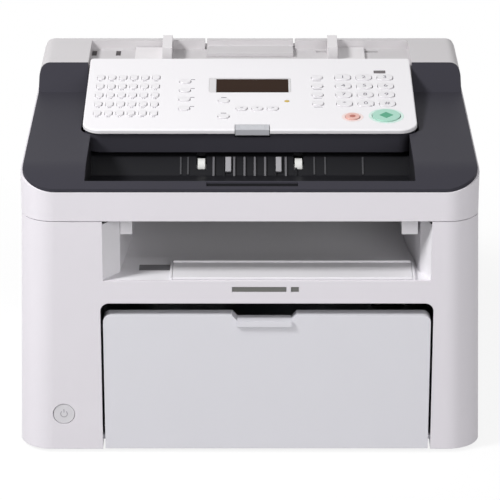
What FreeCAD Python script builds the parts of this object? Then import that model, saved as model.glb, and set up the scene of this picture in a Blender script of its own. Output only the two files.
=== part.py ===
import FreeCAD, Part
import math
import os
import Sketcher
from FreeCAD import Placement, Rotation, Vector

# A compact laser fax: a case with a paper tray and a delivery slot, a scanner top that lifts on a
# rear hinge, and an operation panel that lifts on a hinge of its own.
# Millimetres, +X right, +Y to the back, +Z up, origin on the floor below the middle.

doc = FreeCAD.newDocument("fax_machine")
size = doc.addObject("Spreadsheet::Sheet", "size")

SIZES = (
    # outer case
    ("body_width", 376.8),
    ("top_width", 365.6),
    ("wing_inset", 1.6),
    ("body_depth", 320),
    ("foot_height", 3),
    ("split_height", 202),
    ("seam", 0.6),
    ("wall", 2.5),
    ("sheet", 2),
    ("fit", 0.3),
    ("running", 0.05),
    ("slide_gap", 0.2),
    ("front_corner", 27),
    ("rear_corner", 22),
    ("fascia_depth", 34),
    ("spacer_reach", 2),
    ("spacer_width", 30),
    ("spacer_height", 12),
    ("spacer_span", 150),
    ("spacer_rise", 60),
    # vents in the two sides
    ("vent_count", 9),
    ("vent_pitch", 7),
    ("vent_width", 3),
    ("vent_height", 42),
    ("vent_bottom", 120),
    ("vent_rear", 45),
    # front openings
    ("paper_centre", 13.6),
    ("slot_width", 262),
    ("slot_bottom", 151),
    ("opening_top", 131.6),
    ("opening_corner", 7),
    ("marker_left", -14.4),
    ("marker_width", 43.6),
    ("marker_low", 141.5),
    ("marker_height", 4.3),
    ("marker_depth", 1),
    ("lamp_left", 32.8),
    ("lamp_width", 6.4),
    # power button
    ("button_x", -151.4),
    ("button_z", 34.2),
    ("button_radius", 8.6),
    ("button_gap", 0.4),
    ("button_sink", 0.4),
    ("button_rim", 1),
    ("button_rim_depth", 1.5),
    ("button_stem", 3),
    ("button_stem_length", 12),
    # tray cover
    ("cover_width", 263.4),
    ("cover_gap", 2),
    ("cover_top", 121.1),
    ("cover_lift", 0.5),
    ("cover_depth", 12),
    ("cover_corner", 6),
    ("cover_inset", 7),
    ("cover_rise", 8),
    ("pin_radius", 2.5),
    ("pull_centre", 11.6),
    ("pull_width", 52),
    ("pull_slant", 4),
    ("pull_drop", 4.5),
    ("pull_lip", 5),
    ("pull_reach", 2),
    # floor pan
    ("pan_thickness", 3),
    ("pan_setback", 20),
    ("ear_thickness", 4),
    ("ear_reach", 4.5),
    ("tab_width", 14),
    ("tab_height", 16),
    ("tab_thickness", 3),
    ("screw_inner", 30),
    ("screw_outer", 72),
    ("screw_rise", 9),
    ("screw_radius", 1.5),
    ("screw_head", 3.2),
    ("screw_head_height", 1.2),
    ("foot_radius", 9),
    ("foot_inset_x", 42),
    ("foot_inset_y", 38),
    # sockets in the back
    ("inlet_x", 126),
    ("inlet_width", 30),
    ("inlet_height", 22),
    ("inlet_depth", 24),
    ("inlet_mouth_width", 24),
    ("inlet_mouth_height", 16),
    ("inlet_mouth_depth", 17),
    ("inlet_corner", 4),
    ("blade_width", 2),
    ("blade_height", 4),
    ("blade_length", 13),
    ("blade_pitch", 7),
    ("jack_x", -109),
    ("jack_pitch", 20),
    ("jack_width", 44),
    ("jack_height", 18),
    ("jack_depth", 18),
    ("jack_mouth_width", 10),
    ("jack_mouth_height", 8),
    ("jack_mouth_depth", 12),
    # side plates
    ("frame_span", 296),
    ("frame_thickness", 2),
    ("frame_front", 44),
    ("frame_rear", 10),
    ("frame_top", 190),
    # paper lift
    ("lift_setback", 30),
    ("lift_rise", 8),
    ("lift_length", 210),
    ("lift_thickness", 1.5),
    ("lift_margin", 9),
    ("lift_pin", 1.5),
    ("lift_knuckle", 2.5),
    ("lift_ear", 4),
    ("spring_radius", 6),
    ("spring_wire", 0.9),
    ("spring_turns", 4),
    ("spring_spread", 90),
    ("spring_inset", 16),
    ("guide_paper", 217),
    ("guide_setback", 55),
    ("guide_length", 80),
    ("guide_height", 26),
    ("guide_wall", 2),
    ("guide_foot", 11),
    # print engine
    ("shaft_radius", 3),
    ("shaft_end", 3),
    ("roller_margin", 6),
    ("pickup_y", 62),
    ("pickup_z", 56),
    ("pickup_radius", 13),
    ("pickup_width", 60),
    ("drum_y", 60),
    ("drum_z", 152),
    ("drum_radius", 12),
    ("drum_clear", 1),
    ("nip_gap", 0.3),
    ("transfer_radius", 7),
    ("fuser_y", -5),
    ("fuser_z", 150),
    ("pressure_radius", 10),
    ("fuser_front", 12),
    ("fuser_rear", 17),
    ("fuser_height", 24),
    ("fuser_nip", 0.5),
    ("exit_radius", 7),
    ("exit_angle", 140),
    ("gear_module", 1.5),
    ("gear_width", 6),
    ("gear_gap", 2),
    ("gear_play", 0.5),
    ("drum_teeth", 28),
    ("idler_teeth", 32),
    ("pressure_teeth", 24),
    ("exit_teeth", 16),
    ("pinion_teeth", 12),
    ("pinion_angle", -80),
    ("motor_radius", 19),
    ("motor_length", 24),
    ("motor_shaft", 2),
    ("motor_bore_depth", 12),
    ("toner_front", 24),
    ("toner_rear", 46),
    ("toner_drop", 6),
    ("toner_rise", 34),
    ("toner_grip_width", 90),
    ("toner_grip_depth", 8),
    ("toner_grip_height", 8),
    ("laser_front", 56),
    ("laser_depth", 32),
    ("laser_width", 220),
    ("laser_height", 40),
    ("laser_drop", 8),
    ("board_gap", 4),
    ("board_thickness", 1.6),
    ("board_post", 2.5),
    ("board_margin", 6),
    ("main_board_front", -80),
    ("main_board_length", 140),
    ("main_board_bottom", 40),
    ("main_board_height", 110),
    ("power_board_front", 72),
    ("power_board_length", 64),
    ("power_board_bottom", 20),
    ("power_board_height", 80),
    ("chip_size", 26),
    ("chip_height", 4),
    ("coil_size", 24),
    ("coil_height", 9),
    # delivery slot
    ("slot_floor", 49),
    ("ramp_radius", 130),
    ("ramp_clear", 3),
    ("ramp_drop", 6),
    ("slot_wall_drop", 3),
    ("jamb_depth", 17),
    ("jamb_left", 13),
    ("jamb_right", 8),
    ("delivery_half", 109.6),
    ("extension_left", -62),
    ("extension_width", 192),
    ("extension_depth", 34),
    ("extension_thickness", 2),
    ("extension_rim", 1.5),
    ("rail_width", 2),
    # scanner top
    ("nose_depth", 38),
    ("nose_drop", 9.5),
    ("wing_height", 239),
    ("skin", 3),
    ("crease_y", 54),
    ("deck_y", 78),
    ("deck_rise", 19),
    ("strip_depth", 8),
    ("notch_left", 34.5),
    ("notch_right", 38),
    ("notch_front", 2.5),
    ("notch_back", 1.2),
    ("notch_depth", 1.3),
    ("well_half", 131),
    ("top_hinge_inset", 5),
    ("top_hinge_rise", 3),
    ("top_hinge_reach", 4.5),
    ("top_rear_lift", 4.5),
    ("lug_thickness", 5),
    ("lug_height", 24),
    ("hinge_room", 1.5),
    # document path
    ("chute_margin", 1.2),
    ("chute_flange", 9),
    ("well_floor", 206.5),
    ("well_front", 30),
    ("well_lip", 3.4),
    ("step_foot_y", -66),
    ("step_top_y", -50),
    ("path_front", 218),
    ("path_rear", 233.5),
    ("path_wall_bottom", 203.5),
    ("rib_count", 9),
    ("rib_first", -30),
    ("rib_pitch", 8.5),
    ("rib_width", 1.6),
    ("rib_height", 2),
    ("feed_y", 30),
    ("feed_radius", 9),
    ("feed_width", 60),
    ("feed_proud", 0.6),
    ("feed_shaft", 2.5),
    ("wheel_y", -53),
    ("wheel_z", 209.6),
    ("wheel_radius", 6.9),
    ("wheel_width", 6),
    ("wheel_spread", 80),
    ("wheel_shaft", 2),
    ("roller_room", 1),
    ("sensor_y", -10),
    ("sensor_depth", 18),
    ("sensor_height", 13),
    # rear deck and document guides
    ("recess_half", 139.5),
    ("recess_step_y", 104),
    ("recess_depth", 8),
    ("rear_lean", 12),
    ("side_round", 9),
    ("rim_depth", 7),
    ("fence_inner", 68),
    ("fence_width", 8.5),
    ("fence_height", 13),
    ("fence_foot", 24),
    ("fence_front_y", 104),
    ("fence_length", 36),
    ("foot_plate", 2),
    ("rack_width", 5),
    ("rack_depth", 3.5),
    ("rack_overlap", 62),
    ("neck_width", 8),
    ("guide_out", 36),
    ("guide_in", 10),
    ("rack_module", 1),
    ("rack_teeth", 16),
    ("rack_play", 0.4),
    ("rack_drop", 0.4),
    ("pinion_y", 122),
    ("pinion_post", 2.5),
    ("flap_half", 38),
    ("flap_gap", 1.6),
    ("flap_depth", 30),
    ("flap_thickness", 3),
    ("flap_rim", 6),
    ("flap_pin", 1.5),
    ("flap_pin_reach", 3.5),
    ("flap_inset", 4),
    ("flap_rise", 3),
    ("flap_relief", 1),
    # operation panel, measured along its own slope
    ("panel_half", 138),
    ("panel_gap", 1.5),
    ("panel_y", -57),
    ("panel_rise", 4),
    ("panel_tilt", 5.9),
    ("panel_length", 147),
    ("panel_skirt", 3.5),
    ("panel_front_round", 15),
    ("panel_rear_round", 3),
    ("panel_edge", 1.2),
    ("panel_pin", 2),
    ("panel_pin_reach", 4),
    ("panel_pin_inset", 5),
    ("panel_pin_drop", 5.5),
    ("tub_inset", 1.5),
    ("tub_depth", 17.5),
    ("board_drop", 9),
    ("lcd_width", 69.4),
    ("lcd_depth", 30),
    ("lcd_middle", 90),
    ("lcd_sink", 0.4),
    ("lcd_corner", 1.5),
    ("lcd_module", 5),
    ("latch_middle", 1.9),
    ("latch_width", 28),
    ("latch_length", 10.5),
    ("latch_thickness", 5),
    ("latch_gap", 0.5),
    ("latch_pin", 1.2),
    ("latch_pin_back", 2.5),
    ("latch_boss", 4),
    ("latch_boss_drop", 0.5),
    ("latch_swing", 2.5),
    # keys
    ("key_gap", 0.4),
    ("key_proud", 0.9),
    ("key_rim", 0.8),
    ("key_rim_depth", 1.2),
    ("one_touch_x", -127),
    ("one_touch_pitch", 9.4),
    ("one_touch_v", 32.5),
    ("one_touch_row", 18.2),
    ("one_touch_width", 6),
    ("one_touch_depth", 8.5),
    ("one_touch_round", 2),
    ("function_width", 9),
    ("function_depth", 7.5),
    ("function_round", 3),
    ("side_key_x", -55),
    ("side_key_v", 42),
    ("side_key_row", 18.3),
    ("menu_key_x", -22),
    ("menu_key_v", 26),
    ("menu_key_row", 31.5),
    ("arrow_key_x", -7),
    ("arrow_key_pitch", 13),
    ("arrow_key_v", 42),
    ("dial_key_x", 57),
    ("number_x", 79),
    ("number_pitch", 18),
    ("number_v", 51.5),
    ("number_row", 17.9),
    ("number_width", 13),
    ("number_depth", 11),
    ("number_round", 4),
    ("stop_x", 85),
    ("stop_v", 25.5),
    ("stop_radius", 6),
    ("start_x", 113),
    ("start_v", 27.5),
    ("start_radius", 11.5),
)

for row, (alias, value) in enumerate(SIZES, start=1):
    size.set(f"A{row}", alias)
    size.set(f"B{row}", str(value))
    size.setAlias(f"B{row}", alias)
doc.recompute()

nodes = []


# Helpers: every place and length below is an expression on the sheet

def num(expression):
    return float(size.evalExpression(str(expression)))


def neg(expression):
    return f"(-({expression}))"


def mid(low, high):
    return f"((({low}) + ({high})) / 2)"


def finish(label, solid):
    solid.Label = label
    nodes.append(solid)
    return solid


def block(x, y, z):
    solid = doc.addObject("Part::Box", "block")
    for name, (low, high) in (("Length", x), ("Width", y), ("Height", z)):
        solid.setExpression(name, f"({high}) - ({low})")
    for axis, (low, _) in zip("xyz", (x, y, z)):
        solid.setExpression(f"Placement.Base.{axis}", low)
    return solid


TURNS = {
    "x": Rotation(Vector(0, 1, 0), 90),
    "y": Rotation(Vector(1, 0, 0), -90),
    "z": Rotation(),
}


def rod(axis, radius, low, high, first, second):
    """A cylinder along an axis; first and second place it on the other two axes, in order."""
    solid = doc.addObject("Part::Cylinder", "rod")
    solid.Placement = Placement(Vector(), TURNS[axis])
    solid.setExpression("Radius", radius)
    solid.setExpression("Height", f"({high}) - ({low})")
    places = dict(zip([a for a in "xyz" if a != axis], (first, second)))
    places[axis] = low
    for name, place in places.items():
        solid.setExpression(f"Placement.Base.{name}", place)
    return solid


def fuse(*solids):
    joined = doc.addObject("Part::MultiFuse", "fused")
    joined.Shapes = list(solids)
    return joined


def cut(base, *tools):
    result = doc.addObject("Part::Cut", "cut")
    result.Base = base
    result.Tool = tools[0] if len(tools) == 1 else fuse(*tools)
    return result


def feature(shape):
    solid = doc.addObject("Part::Feature", "shaped")
    solid.Shape = shape
    return solid


def body():
    return doc.addObject("PartDesign::Body", "body")


def box2d(u, v):
    return [(u[0], v[0]), (u[1], v[0]), (u[1], v[1]), (u[0], v[1])]


def rounded(u, v, radius):
    """A rectangle with round corners; a third item is the radius of the arc that starts there."""
    (u0, u1), (v0, v1) = u, v
    return [
        (f"{u0} + {radius}", v0),
        (f"{u1} - {radius}", v0, radius, 1),
        (u1, f"{v0} + {radius}"),
        (u1, f"{v1} - {radius}", radius, 1),
        (f"{u1} - {radius}", v1),
        (f"{u0} + {radius}", v1, radius, 1),
        (u0, f"{v1} - {radius}"),
        (u0, f"{v0} + {radius}", radius, 1),
    ]


def disc(u, v, radius):
    return ("disc", u, v, radius)


def constrain(drawing, joins, sizes):
    """Adds plain joins, then sizes given as kind, references, value and expression."""
    drawing.addConstraint([Sketcher.Constraint("Coincident", *join) for join in joins])
    first = drawing.ConstraintCount
    drawing.addConstraint([Sketcher.Constraint(kind, *refs, value) for kind, refs, value, _ in sizes])
    for index, (_, _, _, expression) in enumerate(sizes, start=first):
        drawing.setExpression(f"Constraints[{index}]", str(expression))


def draw_disc(drawing, u, v, radius):
    centre = Vector(num(u), num(v), 0)
    item = drawing.addGeometry(Part.Circle(centre, Vector(0, 0, 1), num(radius)), False)
    constrain(drawing, [], [
        ("DistanceX", (-1, 1, item, 3), centre.x, u),
        ("DistanceY", (-1, 1, item, 3), centre.y, v),
        ("Radius", (item,), num(radius), radius),
    ])


def arc_between(start, end, radius, side):
    """The arc from start to end; it bulges to the right of that way for side 1."""
    chord = end - start
    half = chord.Length / 2
    left = Vector(-chord.y, chord.x, 0).normalize()
    centre = (start + end) * 0.5 + left * (side * math.sqrt(radius ** 2 - half ** 2))
    first, last = (start, end) if side > 0 else (end, start)
    angles = [math.atan2(p.y - centre.y, p.x - centre.x) for p in (first, last)]
    if angles[1] < angles[0]:
        angles[1] += 2 * math.pi
    return Part.ArcOfCircle(Part.Circle(centre, Vector(0, 0, 1), radius), *angles)


def draw_outline(drawing, outline):
    points = [Vector(num(corner[0]), num(corner[1]), 0) for corner in outline]
    curves, ends, sizes = [], [], []
    item = drawing.GeometryCount
    for corner, start, end in zip(outline, points, points[1:] + points[:1]):
        if len(corner) == 2:
            curves.append(Part.LineSegment(start, end))
            ends.append((item, 1, 2))
        else:
            radius, side = corner[2:]
            curves.append(arc_between(start, end, num(radius), side))
            ends.append((item, 1, 2) if side > 0 else (item, 2, 1))
            sizes.append(("Radius", (item,), num(radius), radius))
        item += 1
    drawing.addGeometry(curves, False)
    joins = [
        (before, last, after, first)
        for (before, _, last), (after, first, _) in zip(ends, ends[1:] + ends[:1])
    ]
    for corner, point, (item, first, _) in zip(outline, points, ends):
        sizes.append(("DistanceX", (-1, 1, item, first), point.x, corner[0]))
        sizes.append(("DistanceY", (-1, 1, item, first), point.y, corner[1]))
    constrain(drawing, joins, sizes)


# The way each origin plane faces: its sketch axes are the two letters of its name
FACING = {"XY": 1, "YZ": 1, "XZ": -1}


def sketch(piece, plane, outlines, level):
    drawing = piece.newObject("Sketcher::SketchObject", "sketch")
    role = f"{plane}_Plane"
    support = next(f for f in piece.Origin.OriginFeatures if f.Role == role)
    drawing.AttachmentSupport = [(support, "")]
    drawing.MapMode = "FlatFace"
    drawing.setExpression("AttachmentOffset.Base.z", f"{FACING[plane]} * ({level})")
    for outline in outlines:
        if outline[0] == "disc":
            draw_disc(drawing, *outline[1:])
        else:
            draw_outline(drawing, outline)
    return drawing


def pad(piece, plane, outlines, low, high):
    solid = piece.newObject("PartDesign::Pad", "pad")
    solid.Profile = sketch(piece, plane, outlines, low if FACING[plane] > 0 else high)
    solid.setExpression("Length", f"({high}) - ({low})")
    return solid


def pocket(piece, plane, outlines, low, high):
    solid = piece.newObject("PartDesign::Pocket", "pocket")
    solid.Profile = sketch(piece, plane, outlines, high if FACING[plane] > 0 else low)
    solid.setExpression("Length", f"({high}) - ({low})")
    return solid


def round_edges(piece, radius, *spots):
    """Rounds the edges that pass nearest to the given spots."""
    doc.recompute()
    tip = piece.Tip
    names = set()
    for spot in spots:
        vertex = Part.Vertex(*[num(place) for place in spot])
        gaps = [edge.distToShape(vertex)[0] for edge in tip.Shape.Edges]
        names.add(f"Edge{gaps.index(min(gaps)) + 1}")
    solid = piece.newObject("PartDesign::Fillet", "round")
    solid.Base = (tip, sorted(names))
    solid.setExpression("Radius", radius)


# Shared places

FRONT = "(-size.body_depth / 2)"
BACK = "(size.body_depth / 2)"
HALF_BASE = "(size.body_width / 2)"
HALF_TOP = "(size.top_width / 2)"
HALF_COVER = "(size.top_width / 2 - size.wing_inset)"
SIDE_REACH = f"({HALF_BASE} + {HALF_TOP})"
CASE_TOP = "(size.split_height - size.seam)"
PAN_TOP = "(size.foot_height + size.pan_thickness)"
FRONT_IN = f"({FRONT} + size.wall)"
BACK_IN = f"({BACK} - size.wall)"

SLOT_LEFT = "(size.paper_centre - size.slot_width / 2)"
SLOT_RIGHT = "(size.paper_centre + size.slot_width / 2)"
COVER_LEFT = "(size.paper_centre - size.cover_width / 2)"
COVER_RIGHT = "(size.paper_centre + size.cover_width / 2)"
OPEN_LEFT = f"({COVER_LEFT} - size.cover_gap)"
OPEN_RIGHT = f"({COVER_RIGHT} + size.cover_gap)"
COVER_BOTTOM = "(size.foot_height + size.cover_lift)"
COVER_HINGE_Y = f"({FRONT} + size.cover_inset)"
COVER_HINGE_Z = f"({COVER_BOTTOM} + size.cover_rise)"

FRAME_LEFT = "(size.paper_centre - size.frame_span / 2)"
FRAME_RIGHT = "(size.paper_centre + size.frame_span / 2)"
FRAME_LEFT_OUT = f"({FRAME_LEFT} - size.frame_thickness)"
FRAME_RIGHT_OUT = f"({FRAME_RIGHT} + size.frame_thickness)"
FRAME_FRONT_Y = f"({FRONT} + size.frame_front)"
FRAME_REAR_Y = f"({BACK} - size.frame_rear)"
GEAR_RIGHT = f"({FRAME_LEFT_OUT} - size.gear_gap)"
GEAR_LEFT = f"({GEAR_RIGHT} - size.gear_width)"

TOP_HINGE_Y = f"({BACK} - size.top_hinge_inset)"
TOP_HINGE_Z = "(size.split_height + size.top_hinge_rise)"
BAND_TOP = "(size.wing_height - size.skin)"
NOSE_Y = f"({FRONT} + size.nose_depth)"
FRONT_EDGE = "(size.wing_height - size.nose_drop)"
DECK_TOP = "(size.wing_height + size.deck_rise)"
PANEL_Z = "(size.wing_height + size.panel_rise)"
NOSE_RADIUS = "((size.nose_depth ^ 2 + size.nose_drop ^ 2) / (2 * size.nose_drop))"
STRIP_Y = f"({FRONT} + size.strip_depth)"
CHUTE_HALF = "(size.panel_half + size.panel_gap + size.chute_margin)"

LIFT_Y = f"({FRONT} + size.lift_setback)"
LIFT_Z = f"({PAN_TOP} + size.lift_rise)"
LIFT_LEFT = f"({COVER_LEFT} + size.lift_margin)"
LIFT_RIGHT = f"({COVER_RIGHT} - size.lift_margin)"

TRANSFER_Z = "(size.drum_z - size.drum_radius - size.nip_gap - size.transfer_radius)"


def reach(first, second):
    """The distance between two meshing gears' centres."""
    return f"(size.gear_module * (size.{first}_teeth + size.{second}_teeth) / 2)"


EXIT_Y = f"(size.fuser_y + {reach('pressure', 'exit')} * cos(size.exit_angle))"
EXIT_Z = f"(size.fuser_z + {reach('pressure', 'exit')} * sin(size.exit_angle))"

# The idler sits below the drum and the pressure roller, in mesh with both
ACROSS_Y = "(size.drum_y - size.fuser_y)"
ACROSS_Z = "(size.drum_z - size.fuser_z)"
ACROSS = f"sqrt({ACROSS_Y} ^ 2 + {ACROSS_Z} ^ 2)"
ALONG = (
    f"(({ACROSS} ^ 2 + {reach('pressure', 'idler')} ^ 2 - {reach('drum', 'idler')} ^ 2)"
    f" / (2 * {ACROSS}))"
)
DROP = f"sqrt({reach('pressure', 'idler')} ^ 2 - {ALONG} ^ 2)"
IDLER_Y = f"(size.fuser_y + ({ALONG} * {ACROSS_Y} + {DROP} * {ACROSS_Z}) / {ACROSS})"
IDLER_Z = f"(size.fuser_z + ({ALONG} * {ACROSS_Z} - {DROP} * {ACROSS_Y}) / {ACROSS})"
PINION_Y = f"({IDLER_Y} + {reach('idler', 'pinion')} * cos(size.pinion_angle))"
PINION_Z = f"({IDLER_Z} + {reach('idler', 'pinion')} * sin(size.pinion_angle))"


# Front fascia: white front shell with round corners, the delivery slot and the tray opening

def case_outline(inset):
    return [
        (neg(f"{HALF_BASE} - {inset}"), "size.foot_height"),
        (f"{HALF_BASE} - {inset}", "size.foot_height"),
        (f"{HALF_TOP} - {inset}", CASE_TOP),
        (neg(f"{HALF_TOP} - {inset}"), CASE_TOP),
    ]


CASE_MID_Z = mid("size.foot_height", CASE_TOP)
CASE_MID_X = mid(HALF_BASE, HALF_TOP)
FASCIA_REAR = f"({FRONT} + size.fascia_depth)"
CASE_INNER_MID_X = f"({CASE_MID_X} - size.wall)"


def front_fascia():
    piece = body()
    pad(piece, "XZ", [case_outline("0")], FRONT, FASCIA_REAR)
    pocket(piece, "XZ", [case_outline("size.wall")], FRONT_IN, FASCIA_REAR)
    round_edges(
        piece, "size.front_corner - size.wall",
        (neg(CASE_INNER_MID_X), FRONT_IN, CASE_MID_Z),
        (CASE_INNER_MID_X, FRONT_IN, CASE_MID_Z),
    )
    round_edges(
        piece, "size.front_corner",
        (neg(CASE_MID_X), FRONT, CASE_MID_Z), (CASE_MID_X, FRONT, CASE_MID_Z),
    )
    slot = box2d((SLOT_LEFT, SLOT_RIGHT), ("size.slot_bottom", CASE_TOP))
    tray = box2d((OPEN_LEFT, OPEN_RIGHT), ("size.foot_height", "size.opening_top"))
    hole = disc("size.button_x", "size.button_z", "size.button_radius + size.button_gap")
    pocket(piece, "XZ", [slot, tray], FRONT, FRONT_IN)
    pocket(piece, "XZ", [hole], FRONT, f"{FRONT_IN} + size.wall")
    middle = mid(FRONT, FRONT_IN)
    round_edges(
        piece, "size.opening_corner",
        (OPEN_LEFT, middle, "size.opening_top"), (OPEN_RIGHT, middle, "size.opening_top"),
    )
    heights = ("size.marker_low", "size.marker_low + size.marker_height")
    marker = box2d(("size.marker_left", "size.marker_left + size.marker_width"), heights)
    lamp = box2d(("size.lamp_left", "size.lamp_left + size.lamp_width"), heights)
    pocket(piece, "XZ", [marker, lamp], FRONT, f"{FRONT} + size.marker_depth")
    finish("front_fascia", piece)


# Rear case: white shell of both sides and the back, with vents, sockets and screw holes

CASE_FRONT = f"({FASCIA_REAR} + size.seam)"
SCREW_Z = f"({PAN_TOP} + size.screw_rise)"
SCREW_XS = (
    neg("size.screw_outer"), neg("size.screw_inner"), "size.screw_inner", "size.screw_outer",
)
INLET_X = ("size.inlet_x - size.inlet_width / 2", "size.inlet_x + size.inlet_width / 2")
INLET_Z = (PAN_TOP, f"{PAN_TOP} + size.inlet_height")
JACK_X = ("size.jack_x - size.jack_width / 2", "size.jack_x + size.jack_width / 2")
JACK_Z = (PAN_TOP, f"{PAN_TOP} + size.jack_height")


def hinge_notch(side):
    """The width of the notch that clears a hinge ear and the lug beside it."""
    inward = "(size.fit + size.lug_thickness + size.hinge_room)"
    outward = "(size.frame_thickness + size.hinge_room)"
    if side == "left":
        return (f"{FRAME_LEFT} - {outward}", f"{FRAME_LEFT} + {inward}")
    return (f"{FRAME_RIGHT} - {inward}", f"{FRAME_RIGHT} + {outward}")


def rear_case():
    piece = body()
    pad(piece, "XZ", [case_outline("0")], CASE_FRONT, BACK)
    pocket(piece, "XZ", [case_outline("size.wall")], CASE_FRONT, BACK_IN)
    round_edges(
        piece, "size.rear_corner - size.wall",
        (neg(CASE_INNER_MID_X), BACK_IN, CASE_MID_Z),
        (CASE_INNER_MID_X, BACK_IN, CASE_MID_Z),
    )
    round_edges(
        piece, "size.rear_corner",
        (neg(CASE_MID_X), BACK, CASE_MID_Z), (CASE_MID_X, BACK, CASE_MID_Z),
    )
    grown = "(size.fit)"
    sockets = [
        box2d((f"{x[0]} - {grown}", f"{x[1]} + {grown}"), ("size.foot_height", f"{z[1]} + {grown}"))
        for x, z in ((INLET_X, INLET_Z), (JACK_X, JACK_Z))
    ]
    screws = [disc(x, SCREW_Z, "size.screw_radius") for x in SCREW_XS]
    lowest = f"{TOP_HINGE_Z} - size.top_hinge_reach - size.hinge_room - size.hinge_room"
    notches = [box2d(hinge_notch(side), (lowest, CASE_TOP)) for side in ("left", "right")]
    pocket(piece, "XZ", sockets + screws, BACK_IN, BACK)
    pocket(piece, "XZ", notches, f"{BACK_IN} - size.wall", BACK)
    last = f"{BACK} - size.vent_rear"
    vents = []
    for index in range(int(num("size.vent_count"))):
        rear = f"{last} - {index} * size.vent_pitch"
        vents.append(
            box2d((f"{rear} - size.vent_width", rear), ("size.vent_bottom",
                                                      "size.vent_bottom + size.vent_height"))
        )
    pocket(piece, "YZ", vents, neg(SIDE_REACH), SIDE_REACH)
    for sign in (-1, 1):
        middle = f"{sign} * size.spacer_span / 2"
        width = (f"{middle} - size.spacer_width / 2", f"{middle} + size.spacer_width / 2")
        height = ("size.spacer_rise", "size.spacer_rise + size.spacer_height")
        pad(piece, "XZ", [box2d(width, height)], BACK, f"{BACK} + size.spacer_reach")
    finish("rear_case", piece)


# Floor pan: steel floor with hinge ears for the cover and the lift plate and tabs for the screws

def floor_pan():
    piece = body()
    half = f"({HALF_BASE} - size.wall - size.fit)"
    near = f"({FRONT_IN} + size.fit)"
    far = f"({BACK_IN} - size.fit)"
    pad(piece, "XY", [box2d((neg(half), half), (near, far))], "size.foot_height", PAN_TOP)
    middle = mid("size.foot_height", PAN_TOP)
    round_edges(piece, "size.front_corner - size.wall", (neg(half), near, middle), (half, near, middle))
    round_edges(piece, "size.rear_corner - size.wall", (neg(half), far, middle), (half, far, middle))
    notch = box2d((OPEN_LEFT, OPEN_RIGHT), (near, f"{FRONT} + size.pan_setback"))
    pocket(piece, "XY", [notch], "size.foot_height", PAN_TOP)
    ear = box2d(
        (f"{COVER_HINGE_Y} - size.ear_reach + size.fit", f"{FRONT} + size.pan_setback"),
        (mid("size.foot_height", PAN_TOP), f"{COVER_HINGE_Z} + size.ear_reach"),
    )
    pin_hole = disc(COVER_HINGE_Y, COVER_HINGE_Z, "size.pin_radius + size.running")
    for low, high in (
        (f"{OPEN_LEFT} - size.ear_thickness", OPEN_LEFT),
        (OPEN_RIGHT, f"{OPEN_RIGHT} + size.ear_thickness"),
    ):
        pad(piece, "YZ", [ear], low, high)
        pocket(piece, "YZ", [pin_hole], low, high)
    stand = box2d(
        (f"{LIFT_Y} - size.lift_ear", f"{LIFT_Y} + size.lift_ear"),
        (mid("size.foot_height", PAN_TOP), f"{LIFT_Z} + size.lift_ear"),
    )
    lift_hole = disc(LIFT_Y, LIFT_Z, "size.lift_pin + size.running")
    for low, high in (
        (f"{LIFT_LEFT} - size.fit - size.ear_thickness", f"{LIFT_LEFT} - size.fit"),
        (f"{LIFT_RIGHT} + size.fit", f"{LIFT_RIGHT} + size.fit + size.ear_thickness"),
    ):
        pad(piece, "YZ", [stand], low, high)
        pocket(piece, "YZ", [lift_hole], low, high)
    for x in SCREW_XS:
        tab = box2d(
            (f"{x} - size.tab_width / 2", f"{x} + size.tab_width / 2"),
            (mid("size.foot_height", PAN_TOP), f"{PAN_TOP} + size.tab_height"),
        )
        pad(piece, "XZ", [tab], f"{far} - size.tab_thickness", far)
        hole = disc(x, SCREW_Z, "size.screw_radius")
        pocket(piece, "XZ", [hole], f"{far} - size.tab_thickness", far)
    finish("base_pan", piece)


def case_screws():
    screws = []
    for x in SCREW_XS:
        head = rod("y", "size.screw_head", BACK, f"{BACK} + size.screw_head_height", x, SCREW_Z)
        tip = f"{BACK_IN} - size.fit - size.tab_thickness"
        shank = rod("y", "size.screw_radius", tip, BACK, x, SCREW_Z)
        screws.append(fuse(head, shank))
    finish("case_screws", fuse(*screws))


def rubber_feet():
    x = f"({HALF_BASE} - size.foot_inset_x)"
    y = f"({BACK} - size.foot_inset_y)"
    feet = [
        rod("z", "size.foot_radius", "0", "size.foot_height", f"{i} * {x}", f"{j} * {y}")
        for i in (-1, 1) for j in (-1, 1)
    ]
    finish("rubber_feet", fuse(*feet))


# Sockets: the power inlet with its three blades, and a block of two phone jacks

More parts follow.
